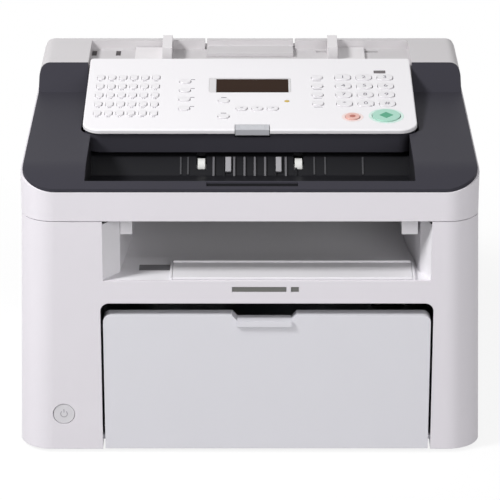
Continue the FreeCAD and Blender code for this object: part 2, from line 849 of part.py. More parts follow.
def rear_sockets():
    depth = (f"{BACK} - size.inlet_depth", BACK)
    middle = mid(*INLET_Z)
    inlet = body()
    pad(inlet, "XZ", [box2d(INLET_X, INLET_Z)], *depth)
    mouth = rounded(
        ("(size.inlet_x - size.inlet_mouth_width / 2)", "(size.inlet_x + size.inlet_mouth_width / 2)"),
        (f"({middle} - size.inlet_mouth_height / 2)", f"({middle} + size.inlet_mouth_height / 2)"),
        "size.inlet_corner",
    )
    floor = f"{BACK} - size.inlet_mouth_depth"
    pocket(inlet, "XZ", [mouth], floor, BACK)
    blades = []
    for index in (-1, 0, 1):
        x = f"(size.inlet_x + {index} * size.blade_pitch)"
        rise = f"({middle} + {abs(index)} * size.blade_height / 2)"
        blades.append(box2d(
            (f"{x} - size.blade_width / 2", f"{x} + size.blade_width / 2"),
            (f"{rise} - size.blade_height", rise),
        ))
    pad(inlet, "XZ", blades, floor, f"{floor} + size.blade_length")
    jacks = body()
    pad(jacks, "XZ", [box2d(JACK_X, JACK_Z)], f"{BACK} - size.jack_depth", BACK)
    rise = mid(*JACK_Z)
    mouths = []
    for index in (-1, 1):
        x = f"(size.jack_x + {index} * size.jack_pitch / 2)"
        mouths.append(box2d(
            (f"{x} - size.jack_mouth_width / 2", f"{x} + size.jack_mouth_width / 2"),
            (f"{rise} - size.jack_mouth_height / 2", f"{rise} + size.jack_mouth_height / 2"),
        ))
    pocket(jacks, "XZ", mouths, f"{BACK} - size.jack_mouth_depth", BACK)
    finish("rear_sockets", fuse(inlet, jacks))


# Power button: round key with a rim behind the wall and a stem that meets the switch

def power_button():
    places = ("size.button_x", "size.button_z")
    rim = f"{FRONT_IN} + size.slide_gap"
    back = f"{rim} + size.button_rim_depth"
    cap = rod("y", "size.button_radius", f"{FRONT} + size.button_sink", back, *places)
    flange = rod("y", "size.button_radius + size.button_rim", rim, back, *places)
    stem = rod("y", "size.button_stem", rim, f"{back} + size.button_stem_length", *places)
    finish("power_button", fuse(cap, flange, stem))


# Tray cover: hollow flap on two moulded pins, with a finger pull in its top edge

PULL_LEFT = "(size.pull_centre - size.pull_width / 2)"
PULL_RIGHT = "(size.pull_centre + size.pull_width / 2)"
PULL_FLOOR = "(size.cover_top - size.pull_drop)"


def tray_cover():
    piece = body()
    back = f"{FRONT} + size.cover_depth"
    pad(piece, "XZ", [box2d((COVER_LEFT, COVER_RIGHT), (COVER_BOTTOM, "size.cover_top"))], FRONT, back)
    middle = mid(FRONT, back)
    round_edges(
        piece, "size.cover_corner",
        (COVER_LEFT, middle, "size.cover_top"), (COVER_RIGHT, middle, "size.cover_top"),
    )
    hollow = box2d(
        (f"{COVER_LEFT} + size.wall", f"{COVER_RIGHT} - size.wall"),
        (f"{COVER_BOTTOM} + size.wall", "size.cover_top - size.wall"),
    )
    pocket(piece, "XZ", [hollow], FRONT_IN, back)
    bar = box2d(
        (f"{PULL_LEFT} - size.wall", f"{PULL_RIGHT} + size.wall"),
        (f"{PULL_FLOOR} - size.pull_lip", "size.cover_top"),
    )
    pad(piece, "XZ", [bar], FRONT, back)
    scoop = [
        (f"{PULL_LEFT} + size.pull_slant", PULL_FLOOR),
        (f"{PULL_RIGHT} - size.pull_slant", PULL_FLOOR),
        (PULL_RIGHT, "size.cover_top"),
        (PULL_LEFT, "size.cover_top"),
    ]
    pocket(piece, "XZ", [scoop], FRONT, back)
    lip = box2d(
        (f"{PULL_LEFT} + size.pull_slant", f"{PULL_RIGHT} - size.pull_slant"),
        (f"{PULL_FLOOR} - size.pull_lip", PULL_FLOOR),
    )
    pad(piece, "XZ", [lip], f"{FRONT} - size.pull_reach", FRONT_IN)
    pin = disc(COVER_HINGE_Y, COVER_HINGE_Z, "size.pin_radius")
    pad(piece, "YZ", [pin], f"{OPEN_LEFT} - size.ear_thickness", f"{COVER_LEFT} + size.wall")
    pad(piece, "YZ", [pin], f"{COVER_RIGHT} - size.wall", f"{OPEN_RIGHT} + size.ear_thickness")
    finish("tray_cover", piece)


# Paper lift: hinged plate, two springs below its free end and two sliding paper guides

LIFT_REAR = f"({LIFT_Y} + size.lift_length)"
LIFT_UNDER = f"({LIFT_Z} - size.lift_thickness)"


def lift_plate():
    plate = block((LIFT_LEFT, LIFT_RIGHT), (LIFT_Y, LIFT_REAR), (LIFT_UNDER, LIFT_Z))
    knuckle = rod("x", "size.lift_knuckle", LIFT_LEFT, LIFT_RIGHT, LIFT_Y, LIFT_Z)
    reach_out = "(size.fit + size.ear_thickness)"
    pin = rod(
        "x", "size.lift_pin", f"{LIFT_LEFT} - {reach_out}", f"{LIFT_RIGHT} + {reach_out}", LIFT_Y, LIFT_Z,
    )
    finish("lift_plate", fuse(plate, knuckle, pin))


def biarc(start, leave, end, arrive):
    """Two arcs that join two points, each along its own direction."""
    span = end - start
    both = leave + arrive
    a = 2 * (1 - leave.dot(arrive))
    b = 2 * span.dot(both)
    c = -span.dot(span)
    arm = -c / b if abs(a) < 1e-9 else (-b + math.sqrt(b * b - 4 * a * c)) / (2 * a)
    corners = (start + leave * arm, end - arrive * arm)
    joint = (corners[0] + corners[1]) * 0.5
    edges = []
    for near, corner, far in ((start, corners[0], joint), (joint, corners[1], end)):
        turn = (corner - near).getAngle(far - corner)
        chord = (near + far) * 0.5
        middle = chord + (corner - chord) * (math.tan(turn / 4) / math.tan(turn / 2))
        edges.append(Part.Arc(near, middle, far).toShape())
    return edges


def spring(x, y, low, high):
    radius = num("size.spring_radius")
    wire = num("size.spring_wire") / 2
    turns = num("size.spring_turns")
    rise = (high - low - 2 * wire) / turns

    def place(turn):
        angle = 2 * math.pi * turn
        return Vector(x + radius * math.cos(angle), y + radius * math.sin(angle), low + wire + rise * turn)

    def heading(turn):
        angle = 2 * math.pi * turn
        round_length = 2 * math.pi * radius
        return Vector(
            -round_length * math.sin(angle), round_length * math.cos(angle), rise
        ).normalize()

    edges = []
    steps = int(turns * 4)
    for step in range(steps):
        ends = (step * turns / steps, (step + 1) * turns / steps)
        edges += biarc(place(ends[0]), heading(ends[0]), place(ends[1]), heading(ends[1]))
    section = Part.Wire(Part.makeCircle(wire, place(0), heading(0)))
    print("least gap between the turns of a lift spring", round(rise - 2 * wire, 3))
    return Part.Wire(edges).makePipeShell([section], True, False)


def lift_springs():
    y = num(f"{LIFT_REAR} - size.spring_inset")
    low = num(PAN_TOP)
    high = num(LIFT_UNDER)
    coils = []
    for sign in (-1, 1):
        x = num(f"size.paper_centre + {sign} * size.spring_spread / 2")
        coils.append(feature(spring(x, y, low, high)))
    finish("lift_springs", fuse(*coils))


def paper_guide(label, sign):
    inner = f"(size.paper_centre + {sign} * size.guide_paper / 2)"
    edges = [inner, f"{inner} + {sign} * size.guide_wall", f"{inner} + {sign} * size.guide_foot"]
    fence_x = sorted(edges[:2], key=num)
    foot_x = sorted((edges[0], edges[2]), key=num)
    y = (f"{FRONT} + size.guide_setback", f"{FRONT} + size.guide_setback + size.guide_length")
    low = f"({LIFT_Z} + size.slide_gap)"
    fence = block(fence_x, y, (low, f"{low} + size.guide_height"))
    foot = block(foot_x, y, (low, f"{low} + size.guide_wall"))
    finish(label, fuse(fence, foot))


# Side plates: steel sides of the print engine with shaft holes, hinge ears and the idler's post

SHAFTS = (
    ("size.pickup_y", "size.pickup_z"),
    ("size.drum_y", TRANSFER_Z),
    ("size.drum_y", "size.drum_z"),
    ("size.fuser_y", "size.fuser_z"),
    (EXIT_Y, EXIT_Z),
)
EAR_FRONT = f"({TOP_HINGE_Y} - size.top_hinge_reach)"
EAR_BACK = f"({TOP_HINGE_Y} + size.top_hinge_reach)"


def side_plate(low, high, holes):
    plate = body()
    outline = [
        (FRAME_FRONT_Y, PAN_TOP),
        (FRAME_REAR_Y, PAN_TOP),
        (FRAME_REAR_Y, f"{TOP_HINGE_Z} - size.top_hinge_reach - size.frame_rear"),
        (EAR_BACK, f"{TOP_HINGE_Z} - size.top_hinge_reach"),
        (EAR_BACK, TOP_HINGE_Z, "size.top_hinge_reach", 1),
        (TOP_HINGE_Y, f"{TOP_HINGE_Z} + size.top_hinge_reach", "size.top_hinge_reach", 1),
        (EAR_FRONT, TOP_HINGE_Z),
        (f"{FRAME_REAR_Y} - 2 * size.frame_rear", "size.frame_top"),
        (FRAME_FRONT_Y, "size.frame_top"),
    ]
    pad(plate, "YZ", [outline], low, high)
    pocket(plate, "YZ", holes, low, high)
    return plate


def chassis_frame():
    bores = [disc(y, z, "size.shaft_radius + size.running") for y, z in SHAFTS]
    bores.append(disc(TOP_HINGE_Y, TOP_HINGE_Z, "size.pin_radius + size.running"))
    motor_hole = disc(PINION_Y, PINION_Z, "size.motor_shaft + size.drum_clear")
    left = side_plate(FRAME_LEFT_OUT, FRAME_LEFT, bores + [motor_hole])
    post = disc(IDLER_Y, IDLER_Z, "size.shaft_radius")
    pad(left, "YZ", [post], f"{GEAR_LEFT} - size.shaft_end", FRAME_LEFT_OUT)
    right = side_plate(FRAME_RIGHT, FRAME_RIGHT_OUT, bores)
    finish("chassis_frame", fuse(left, right))


# Gears: involute teeth of straight facets, phased so that each pair is in mesh at rest

PRESSURE_ANGLE = math.radians(20)
TIP_SHARE = 0.9
ROOT_SHARE = 1.2
FLANK_STEPS = 4


def involute(angle):
    return math.tan(angle) - angle


def tooth_points(teeth, module, play):
    """Half a tooth, root to tip, as pairs of radius and angle from the tooth's middle."""
    pitch = module * teeth / 2
    base = pitch * math.cos(PRESSURE_ANGLE)
    tip = pitch + TIP_SHARE * module
    root = pitch - ROOT_SHARE * module
    half = math.pi / (2 * teeth) - play / (2 * pitch) + involute(PRESSURE_ANGLE)
    start = max(base, root)
    pairs = [(root, half - involute(math.acos(base / start)))] if root < start else []
    for step in range(FLANK_STEPS + 1):
        radius = start + (tip - start) * step / FLANK_STEPS
        pairs.append((radius, half - involute(math.acos(min(1, base / radius)))))
    return pairs


def gear_ring(teeth, module, play, phase):
    flank = tooth_points(teeth, module, play)
    ring = []
    for index in range(teeth):
        middle = phase + 2 * math.pi * index / teeth
        ring += [(radius, middle - angle) for radius, angle in flank]
        ring += [(radius, middle + angle) for radius, angle in reversed(flank)]
    return ring


def mesh_phase(phase, teeth, toward, other_teeth):
    """The angle of a tooth on the other gear that lies in that direction, in mesh with this one."""
    share = (toward - phase) * teeth / (2 * math.pi)
    return toward + math.pi - (0.5 - share) * 2 * math.pi / other_teeth


def drive_gear(name, phase, y, z):
    teeth = int(num(f"size.{name}_teeth"))
    ring = gear_ring(teeth, num("size.gear_module"), num("size.gear_play"), phase)
    left, y, z = num(GEAR_LEFT), num(y), num(z)
    points = [Vector(left, y + r * math.cos(a), z + r * math.sin(a)) for r, a in ring]
    face = Part.Face(Part.makePolygon(points + points[:1]))
    return feature(face.extrude(Vector(num("size.gear_width"), 0, 0)))


def bearing_of(y_from, z_from, y_to, z_to):
    return math.atan2(num(z_to) - num(z_from), num(y_to) - num(y_from))


DRUM_PHASE = 0
IDLER_PHASE = mesh_phase(
    DRUM_PHASE, num("size.drum_teeth"),
    bearing_of("size.drum_y", "size.drum_z", IDLER_Y, IDLER_Z), num("size.idler_teeth"),
)
PRESSURE_PHASE = mesh_phase(
    IDLER_PHASE, num("size.idler_teeth"),
    bearing_of(IDLER_Y, IDLER_Z, "size.fuser_y", "size.fuser_z"), num("size.pressure_teeth"),
)
EXIT_PHASE = mesh_phase(
    PRESSURE_PHASE, num("size.pressure_teeth"),
    math.radians(num("size.exit_angle")), num("size.exit_teeth"),
)
PINION_PHASE = mesh_phase(
    IDLER_PHASE, num("size.idler_teeth"),
    math.radians(num("size.pinion_angle")), num("size.pinion_teeth"),
)


# Print engine rollers: each a steel shaft with its roller, and a gear where the train drives it

ROLL_LEFT = f"({FRAME_LEFT} + size.roller_margin)"
ROLL_RIGHT = f"({FRAME_RIGHT} - size.roller_margin)"


def roller(label, radius, y, z, low=ROLL_LEFT, high=ROLL_RIGHT, gear=None):
    left = f"{GEAR_LEFT} - size.shaft_end" if gear else f"{FRAME_LEFT_OUT} - size.gear_gap / 2"
    shaft = rod("x", "size.shaft_radius", left, f"{FRAME_RIGHT_OUT} + size.shaft_end", y, z)
    cover = rod("x", radius, low, high, y, z)
    parts = [shaft, cover]
    if gear:
        parts.append(drive_gear(*gear, y, z))
    finish(label, fuse(*parts))


def engine_rollers():
    roller(
        "pickup_roller", "size.pickup_radius", "size.pickup_y", "size.pickup_z",
        "size.paper_centre - size.pickup_width / 2", "size.paper_centre + size.pickup_width / 2",
    )
    roller("transfer_roller", "size.transfer_radius", "size.drum_y", TRANSFER_Z)
    roller(
        "photo_drum", "size.drum_radius", "size.drum_y", "size.drum_z", gear=("drum", DRUM_PHASE),
    )
    roller(
        "pressure_roller", "size.pressure_radius", "size.fuser_y", "size.fuser_z",
        gear=("pressure", PRESSURE_PHASE),
    )
    roller("exit_roller", "size.exit_radius", EXIT_Y, EXIT_Z, gear=("exit", EXIT_PHASE))


def gear_train():
    bore = rod("x", "size.shaft_radius + size.running", GEAR_LEFT, GEAR_RIGHT, IDLER_Y, IDLER_Z)
    finish("idler_gear", cut(drive_gear("idler", IDLER_PHASE, IDLER_Y, IDLER_Z), bore))
    depth = f"{FRAME_LEFT} + size.motor_bore_depth - size.fit"
    shaft = rod("x", "size.motor_shaft", GEAR_LEFT, depth, PINION_Y, PINION_Z)
    finish("motor_pinion", fuse(drive_gear("pinion", PINION_PHASE, PINION_Y, PINION_Z), shaft))
    can = rod("x", "size.motor_radius", FRAME_LEFT, f"{FRAME_LEFT} + size.motor_length", PINION_Y, PINION_Z)
    hole = rod(
        "x", "size.motor_shaft + size.running", FRAME_LEFT, f"{FRAME_LEFT} + size.motor_bore_depth",
        PINION_Y, PINION_Z,
    )
    finish("drive_motor", cut(can, hole))


# Print engine units: cartridge round the drum, laser behind it and fuser above its roller

UNIT_X = (f"{FRAME_LEFT} + size.fit", f"{FRAME_RIGHT} - size.fit")


def toner_cartridge():
    top = "(size.drum_z + size.toner_rise)"
    rear = "(size.drum_y + size.toner_rear)"
    shell = block(
        UNIT_X, ("size.drum_y - size.toner_front", rear), ("size.drum_z - size.toner_drop", top),
    )
    grip = block(
        ("size.paper_centre - size.toner_grip_width / 2", "size.paper_centre + size.toner_grip_width / 2"),
        (f"{rear} - size.toner_grip_depth", rear),
        (top, f"{top} + size.toner_grip_height"),
    )
    room = rod(
        "x", "size.drum_radius + size.drum_clear", *UNIT_X, "size.drum_y", "size.drum_z",
    )
    finish("toner_cartridge", cut(fuse(shell, grip), room))


def laser_unit():
    front = "(size.drum_y + size.laser_front)"
    rear = f"({front} + size.laser_depth)"
    low = "(size.drum_z - size.laser_drop)"
    shelf = block(UNIT_X, (front, rear), (low, f"{low} + size.sheet"))
    case = block(
        ("size.paper_centre - size.laser_width / 2", "size.paper_centre + size.laser_width / 2"),
        (front, rear),
        (low, f"{low} + size.laser_height"),
    )
    finish("laser_unit", fuse(shelf, case))


def fuser_housing():
    low = "(size.fuser_z + size.pressure_radius + size.fuser_nip)"
    depth = ("size.fuser_y - size.fuser_front", "size.fuser_y + size.fuser_rear")
    finish("fuser_housing", block(UNIT_X, depth, (low, f"{low} + size.fuser_height")))


# Circuit boards: main board and power board on posts outside the right side plate

def board(name, part_size, part_height):
    face = f"({FRAME_RIGHT_OUT} + size.board_gap)"
    outer = f"({face} + size.board_thickness)"
    y = (f"size.{name}_front", f"(size.{name}_front + size.{name}_length)")
    z = (f"size.{name}_bottom", f"(size.{name}_bottom + size.{name}_height)")
    pieces = [block((face, outer), y, z)]
    for edge_y in (f"{y[0]} + size.board_margin", f"{y[1]} - size.board_margin"):
        for edge_z in (f"{z[0]} + size.board_margin", f"{z[1]} - size.board_margin"):
            pieces.append(rod("x", "size.board_post", FRAME_RIGHT_OUT, face, edge_y, edge_z))
    for share in (-1, 1):
        middle = f"({mid(*y)} + {share} * {part_size})"
        low = f"({mid(*z)} - {part_size} / 2)"
        pieces.append(block(
            (outer, f"{outer} + {part_height}"),
            (f"{middle} - {part_size} / 2", f"{middle} + {part_size} / 2"),
            (low, f"{low} + {part_size}"),
        ))
    return fuse(*pieces)


def circuit_boards():
    main = board("main_board", "size.chip_size", "size.chip_height")
    power = board("power_board", "size.coil_size", "size.coil_height")
    finish("circuit_boards", fuse(main, power))


# Delivery slot: floor, curved ramp and side walls, with a plate that slides out to the front

RAMP_Y = f"({EXIT_Y} - size.exit_radius - size.ramp_clear)"
RAMP_Z = f"({EXIT_Z} - size.ramp_drop)"
SLOT_FRONT = f"({FRONT_IN} + size.fit)"
SLOT_TURN = f"({FRONT_IN} + size.slot_floor)"
EXTENSION_X = ("size.extension_left", "(size.extension_left + size.extension_width)")
EXTENSION_LOW = "(size.slot_bottom + size.slide_gap)"


def output_tray():
    piece = body()
    outline = [
        (SLOT_FRONT, "size.slot_bottom - size.sheet"),
        (SLOT_TURN, "size.slot_bottom - size.sheet", "size.ramp_radius", 1),
        (RAMP_Y, f"{RAMP_Z} - size.sheet"),
        (RAMP_Y, RAMP_Z, "size.ramp_radius", -1),
        (SLOT_TURN, "size.slot_bottom"),
        (SLOT_FRONT, "size.slot_bottom"),
    ]
    pad(piece, "YZ", [outline], f"{SLOT_LEFT} - size.sheet", f"{SLOT_RIGHT} + size.sheet")
    wing = box2d((FRAME_FRONT_Y, RAMP_Y), ("size.slot_bottom - size.sheet", "size.slot_bottom"))
    pad(piece, "YZ", [wing], UNIT_X[0], SLOT_LEFT)
    pad(piece, "YZ", [wing], SLOT_RIGHT, UNIT_X[1])
    # Each side wall turns in behind the front shell and then narrows to the paper's width
    for edge, jamb, sign in ((SLOT_LEFT, "size.jamb_left", 1), (SLOT_RIGHT, "size.jamb_right", -1)):
        inside = [
            (edge, SLOT_FRONT),
            (f"{edge} + {sign} * {jamb}", f"{SLOT_FRONT} + size.jamb_depth"),
            (f"size.paper_centre - {sign} * size.delivery_half", RAMP_Y),
        ]
        outside = [(f"{x} - {sign} * size.sheet", y) for x, y in inside[::-1]]
        wall_top = f"{CASE_TOP} - size.slot_wall_drop"
        pad(piece, "XY", [inside + outside], "size.slot_bottom - size.sheet / 2", wall_top)
    rail = box2d(
        (SLOT_FRONT, f"{SLOT_FRONT} + size.extension_depth"),
        ("size.slot_bottom - size.sheet / 2", f"{EXTENSION_LOW} + size.extension_thickness"),
    )
    left, right = EXTENSION_X
    pad(piece, "YZ", [rail], f"{left} - size.fit - size.rail_width", f"{left} - size.fit")
    pad(piece, "YZ", [rail], f"{right} + size.fit", f"{right} + size.fit + size.rail_width")
    finish("output_tray", piece)


def output_extension():
    rear = f"({SLOT_FRONT} + size.extension_depth)"
    top = f"({EXTENSION_LOW} + size.extension_thickness)"
    plate = block(EXTENSION_X, (SLOT_FRONT, rear), (EXTENSION_LOW, top))
    rim = block(
        EXTENSION_X,
        (f"{rear} - size.extension_thickness", rear),
        (EXTENSION_LOW, f"{top} + size.extension_rim"),
    )
    finish("output_extension", fuse(plate, rim))


# Scanner top: white band round it, dark cover on it and grey deck behind

def nose(top_drop):
    """The curve of the front edge, from the front face up to the level wing."""
    return [
        (FRONT, f"{FRONT_EDGE} - {top_drop}", NOSE_RADIUS, -1),
        (NOSE_Y, f"size.wing_height - {top_drop}"),
    ]


def top_band():
    piece = body()
    pad(piece, "XY", [box2d((neg(HALF_TOP), HALF_TOP), (FRONT, BACK))], "size.split_height", BAND_TOP)
    middle = mid("size.split_height", BAND_TOP)
    inner = f"({HALF_TOP} - size.wall)"
    pocket(
        piece, "XY", [box2d((neg(inner), inner), (FRONT_IN, BACK_IN))], "size.split_height", BAND_TOP,
    )
    round_edges(
        piece, "size.front_corner - size.wall", (neg(inner), FRONT_IN, middle), (inner, FRONT_IN, middle),
    )
    round_edges(
        piece, "size.rear_corner - size.wall", (neg(inner), BACK_IN, middle), (inner, BACK_IN, middle),
    )
    round_edges(piece, "size.front_corner", (neg(HALF_TOP), FRONT, middle), (HALF_TOP, FRONT, middle))
    round_edges(piece, "size.rear_corner", (neg(HALF_TOP), BACK, middle), (HALF_TOP, BACK, middle))
    above = nose("size.skin") + [(FRONT, BAND_TOP)]
    pocket(piece, "YZ", [above], neg(HALF_TOP), HALF_TOP)
    room_front = f"{TOP_HINGE_Y} - size.top_hinge_reach - size.hinge_room"
    swing = box2d((room_front, BACK), ("size.split_height", "size.split_height + size.top_rear_lift"))
    pocket(piece, "YZ", [swing], neg(HALF_TOP), HALF_TOP)
    notch_top = f"{TOP_HINGE_Z} + size.top_hinge_reach + size.hinge_room"
    ears = [
        box2d((f"{FRAME_LEFT_OUT} - size.hinge_room", FRAME_LEFT), ("size.split_height", notch_top)),
        box2d((FRAME_RIGHT, f"{FRAME_RIGHT_OUT} + size.hinge_room"), ("size.split_height", notch_top)),
    ]
    pocket(piece, "XZ", ears, f"{BACK_IN} - size.wall", BACK)
    lug = box2d(
        (EAR_FRONT, f"{BACK} - size.wall / 2"),
        (f"{TOP_HINGE_Z} - size.top_hinge_reach", f"{TOP_HINGE_Z} + size.lug_height"),
    )
    pin = disc(TOP_HINGE_Y, TOP_HINGE_Z, "size.pin_radius")
    left, right = f"({FRAME_LEFT} + size.fit)", f"({FRAME_RIGHT} - size.fit)"
    pad(piece, "YZ", [lug], left, f"{left} + size.lug_thickness")
    pad(piece, "YZ", [lug], f"{right} - size.lug_thickness", right)
    screen = box2d(
        (f"{EAR_FRONT} - size.wall", f"{EAR_FRONT} + size.wall / 2"),
        (f"{TOP_HINGE_Z} - size.top_hinge_rise", BAND_TOP),
    )
    pad(piece, "YZ", [screen], left, right)
    pad(piece, "YZ", [pin], FRAME_LEFT_OUT, f"{left} + size.lug_thickness")
    pad(piece, "YZ", [pin], f"{right} - size.lug_thickness", FRAME_RIGHT_OUT)
    finish("top_band", piece)


WELL_BACK = "(size.panel_y - size.panel_gap)"


def side_round():
    """The corners that come off both upper side edges of the deck and the riser."""
    corners = []
    for sign in (-1, 1):
        edge = f"({sign} * {HALF_COVER})"
        corners.append([
            (f"({edge} - {sign} * size.side_round)", DECK_TOP, "size.side_round", -sign),
            (edge, f"{DECK_TOP} - size.side_round"),
            (edge, DECK_TOP),
        ])
    return corners


def nose_at(y):
    drop = f"{NOSE_RADIUS} - sqrt({NOSE_RADIUS} ^ 2 - ({NOSE_Y} - {y}) ^ 2)"
    return f"(size.wing_height - ({drop}))"


def top_cover():
    piece = body()
    low = f"({FRONT_EDGE} - size.skin)"
    plan = box2d((neg(HALF_COVER), HALF_COVER), (FRONT, "size.deck_y"))
    pad(piece, "XY", [plan], low, DECK_TOP)
    middle = mid(low, DECK_TOP)
    round_edges(piece, "size.front_corner", (neg(HALF_COVER), FRONT, middle), (HALF_COVER, FRONT, middle))
    above = nose("0") + [
        ("size.crease_y", "size.wing_height"),
        ("size.deck_y", DECK_TOP),
        (FRONT, DECK_TOP),
    ]
    below = nose("size.skin") + [("size.deck_y", BAND_TOP), ("size.deck_y", low)]
    pocket(piece, "YZ", [above, below], neg(HALF_COVER), HALF_COVER)
    under_riser = [
        ("size.crease_y", BAND_TOP),
        ("size.deck_y", BAND_TOP),
        ("size.deck_y", f"{DECK_TOP} - size.skin"),
    ]
    inner = f"({HALF_COVER} - size.side_round)"
    pocket(piece, "YZ", [under_riser], neg(inner), inner)
    pocket(piece, "XZ", side_round(), "size.crease_y", "size.deck_y")
    well_end = f"{WELL_BACK} + 2 * size.panel_gap"
    well = box2d((neg("size.well_half"), "size.well_half"), (STRIP_Y, well_end))
    half = "(size.panel_half + size.panel_gap)"
    turn = "(size.panel_front_round + size.panel_gap)"
    bay = [
        (neg(half), f"{WELL_BACK} + {turn}", turn, 1),
        (f"{turn} - {half}", WELL_BACK),
        (f"{half} - {turn}", WELL_BACK, turn, 1),
        (half, f"{WELL_BACK} + {turn}"),
        (half, "size.deck_y"),
        (neg(half), "size.deck_y"),
    ]
    pocket(piece, "XY", [well], low, DECK_TOP)
    pocket(piece, "XY", [bay], low, DECK_TOP)
    notch_y = (f"({FRONT} + size.notch_front)", f"({STRIP_Y} - size.notch_back)")
    notch = [(y, f"{nose_at(y)} - size.notch_depth") for y in notch_y]
    notch += [(y, "size.wing_height") for y in notch_y[::-1]]
    pocket(piece, "YZ", [notch], neg("size.notch_left"), "size.notch_right")
    finish("top_cover", piece)


# Document chute: floor of the paper path with a ribbed step, side walls and seats for the rollers

PATH_REAR_Y = "(size.deck_y - size.seam)"
PATH_SLOPE = f"((size.path_rear - size.path_front) / ({PATH_REAR_Y} - size.step_top_y))"
WELL_TURN = f"({FRONT} + size.well_front)"
WELL_LIP = f"({STRIP_Y} + size.fit)"
WELL_LIP_Z = f"({FRONT_EDGE} - size.skin + size.well_lip)"
WALL_TOP = BAND_TOP


def path_at(y):
    return f"(size.path_front + (({y}) - size.step_top_y) * {PATH_SLOPE})"


FEED_Z = f"({path_at('size.feed_y')} + size.feed_proud - size.feed_radius)"
SENSOR_FRONT = "(size.sensor_y - size.sensor_depth / 2)"
SENSOR_BACK = "(size.sensor_y + size.sensor_depth / 2)"


def both_sides(low, high):
    return ((f"-({high})", f"-({low})"), (low, high))


def document_chute():
    piece = body()
    top = [
        (WELL_LIP, WELL_LIP_Z),
        (WELL_TURN, "size.well_floor"),
        ("size.step_foot_y", "size.well_floor"),
        ("size.step_top_y", "size.path_front"),
        (PATH_REAR_Y, "size.path_rear"),
    ]
    under = [(y, f"{z} - size.wall") for y, z in top]
    pad(piece, "YZ", [under + top[::-1]], neg(CHUTE_HALF), CHUTE_HALF)
    wall_outline = [
        (WELL_TURN, "size.path_wall_bottom"),
        (PATH_REAR_Y, "size.path_wall_bottom"),
        (PATH_REAR_Y, WALL_TOP),
        (NOSE_Y, WALL_TOP),
        (WELL_LIP, WELL_LIP_Z),
        (WELL_LIP, f"{WELL_LIP_Z} - size.wall"),
    ]
    flange = box2d((NOSE_Y, "size.crease_y"), (f"{WALL_TOP} - size.wall", WALL_TOP))
    cheek = [
        (WELL_TURN, "size.well_floor - size.wall / 2"),
        (WELL_BACK, "size.well_floor - size.wall / 2"),
        (WELL_BACK, WALL_TOP),
        (NOSE_Y, WALL_TOP),
        (WELL_LIP, WELL_LIP_Z),
        (WELL_LIP, f"{WELL_LIP_Z} - size.wall"),
    ]
    outer = f"({CHUTE_HALF} + size.wall)"
    for low, high in both_sides(CHUTE_HALF, outer):
        pad(piece, "YZ", [wall_outline], low, high)
    for low, high in both_sides(outer, f"{outer} + size.chute_flange"):
        pad(piece, "YZ", [flange], low, high)
    for low, high in both_sides("size.well_half", "(size.well_half + size.sheet)"):
        pad(piece, "YZ", [cheek], low, high)
    ribs = []
    rib = [
        ("size.step_foot_y", "size.well_floor"),
        ("size.step_top_y", "size.path_front"),
        ("size.step_top_y - size.rib_height", "size.path_front"),
        ("size.step_foot_y - size.rib_height", "size.well_floor"),
    ]
    for index in range(int(num("size.rib_count"))):
        middle = f"(size.rib_first + {index} * size.rib_pitch)"
        ribs.append((f"{middle} - size.rib_width / 2", f"{middle} + size.rib_width / 2"))
    for low, high in ribs:
        pad(piece, "YZ", [rib], low, high)
    bores = [
        disc("size.feed_y", FEED_Z, "size.feed_shaft + size.running"),
        disc("size.wheel_y", "size.wheel_z", "size.wheel_shaft + size.running"),
    ]
    pocket(piece, "YZ", bores, neg(outer), outer)
    feed_half = "(size.feed_width / 2 + size.roller_room)"
    feed_reach = "(size.feed_radius + size.roller_room)"
    wheel_reach = "(size.wheel_radius + size.roller_room)"
    wheel_half = "(size.wheel_width / 2 + size.roller_room)"
    slots = [box2d(
        (neg(feed_half), feed_half),
        (f"size.feed_y - {feed_reach}", f"size.feed_y + {feed_reach}"),
    )]
    for sign in (-1, 1):
        x = f"({sign} * size.wheel_spread / 2)"
        slots.append(box2d(
            (f"{x} - {wheel_half}", f"{x} + {wheel_half}"),
            (f"size.wheel_y - {wheel_reach}", f"size.wheel_y + {wheel_reach}"),
        ))
    glass_half = f"({CHUTE_HALF} - size.fit)"
    slots.append(box2d(
        (neg(glass_half), glass_half),
        (f"{SENSOR_FRONT} - size.fit", f"{SENSOR_BACK} + size.fit"),
    ))
    pocket(piece, "XY", slots, "size.path_wall_bottom", WALL_TOP)
    finish("document_chute", piece)


def document_rollers():
    ends = (neg(f"{CHUTE_HALF} + size.wall"), f"{CHUTE_HALF} + size.wall")
    shaft = rod("x", "size.feed_shaft", *ends, "size.feed_y", FEED_Z)
    feed_half = "(size.feed_width / 2)"
    tyre = rod("x", "size.feed_radius", neg(feed_half), feed_half, "size.feed_y", FEED_Z)
    finish("feed_roller", fuse(shaft, tyre))
    pieces = [rod("x", "size.wheel_shaft", *ends, "size.wheel_y", "size.wheel_z")]
    for sign in (-1, 1):
        x = f"({sign} * size.wheel_spread / 2)"
        pieces.append(rod(
            "x", "size.wheel_radius", f"{x} - size.wheel_width / 2", f"{x} + size.wheel_width / 2",
            "size.wheel_y", "size.wheel_z",
        ))
    finish("document_exit_roller", fuse(*pieces))


def image_sensor():
    half = f"({CHUTE_HALF} - size.fit - size.fit)"
    top = f"({path_at(SENSOR_FRONT)} - size.fit)"
    finish("image_sensor", block(
        (neg(half), half), (SENSOR_FRONT, SENSOR_BACK), (f"{top} - size.sensor_height", top),
    ))


# Rear deck: grey cap with a sunk floor for documents, slots for the racks and the pinion's post

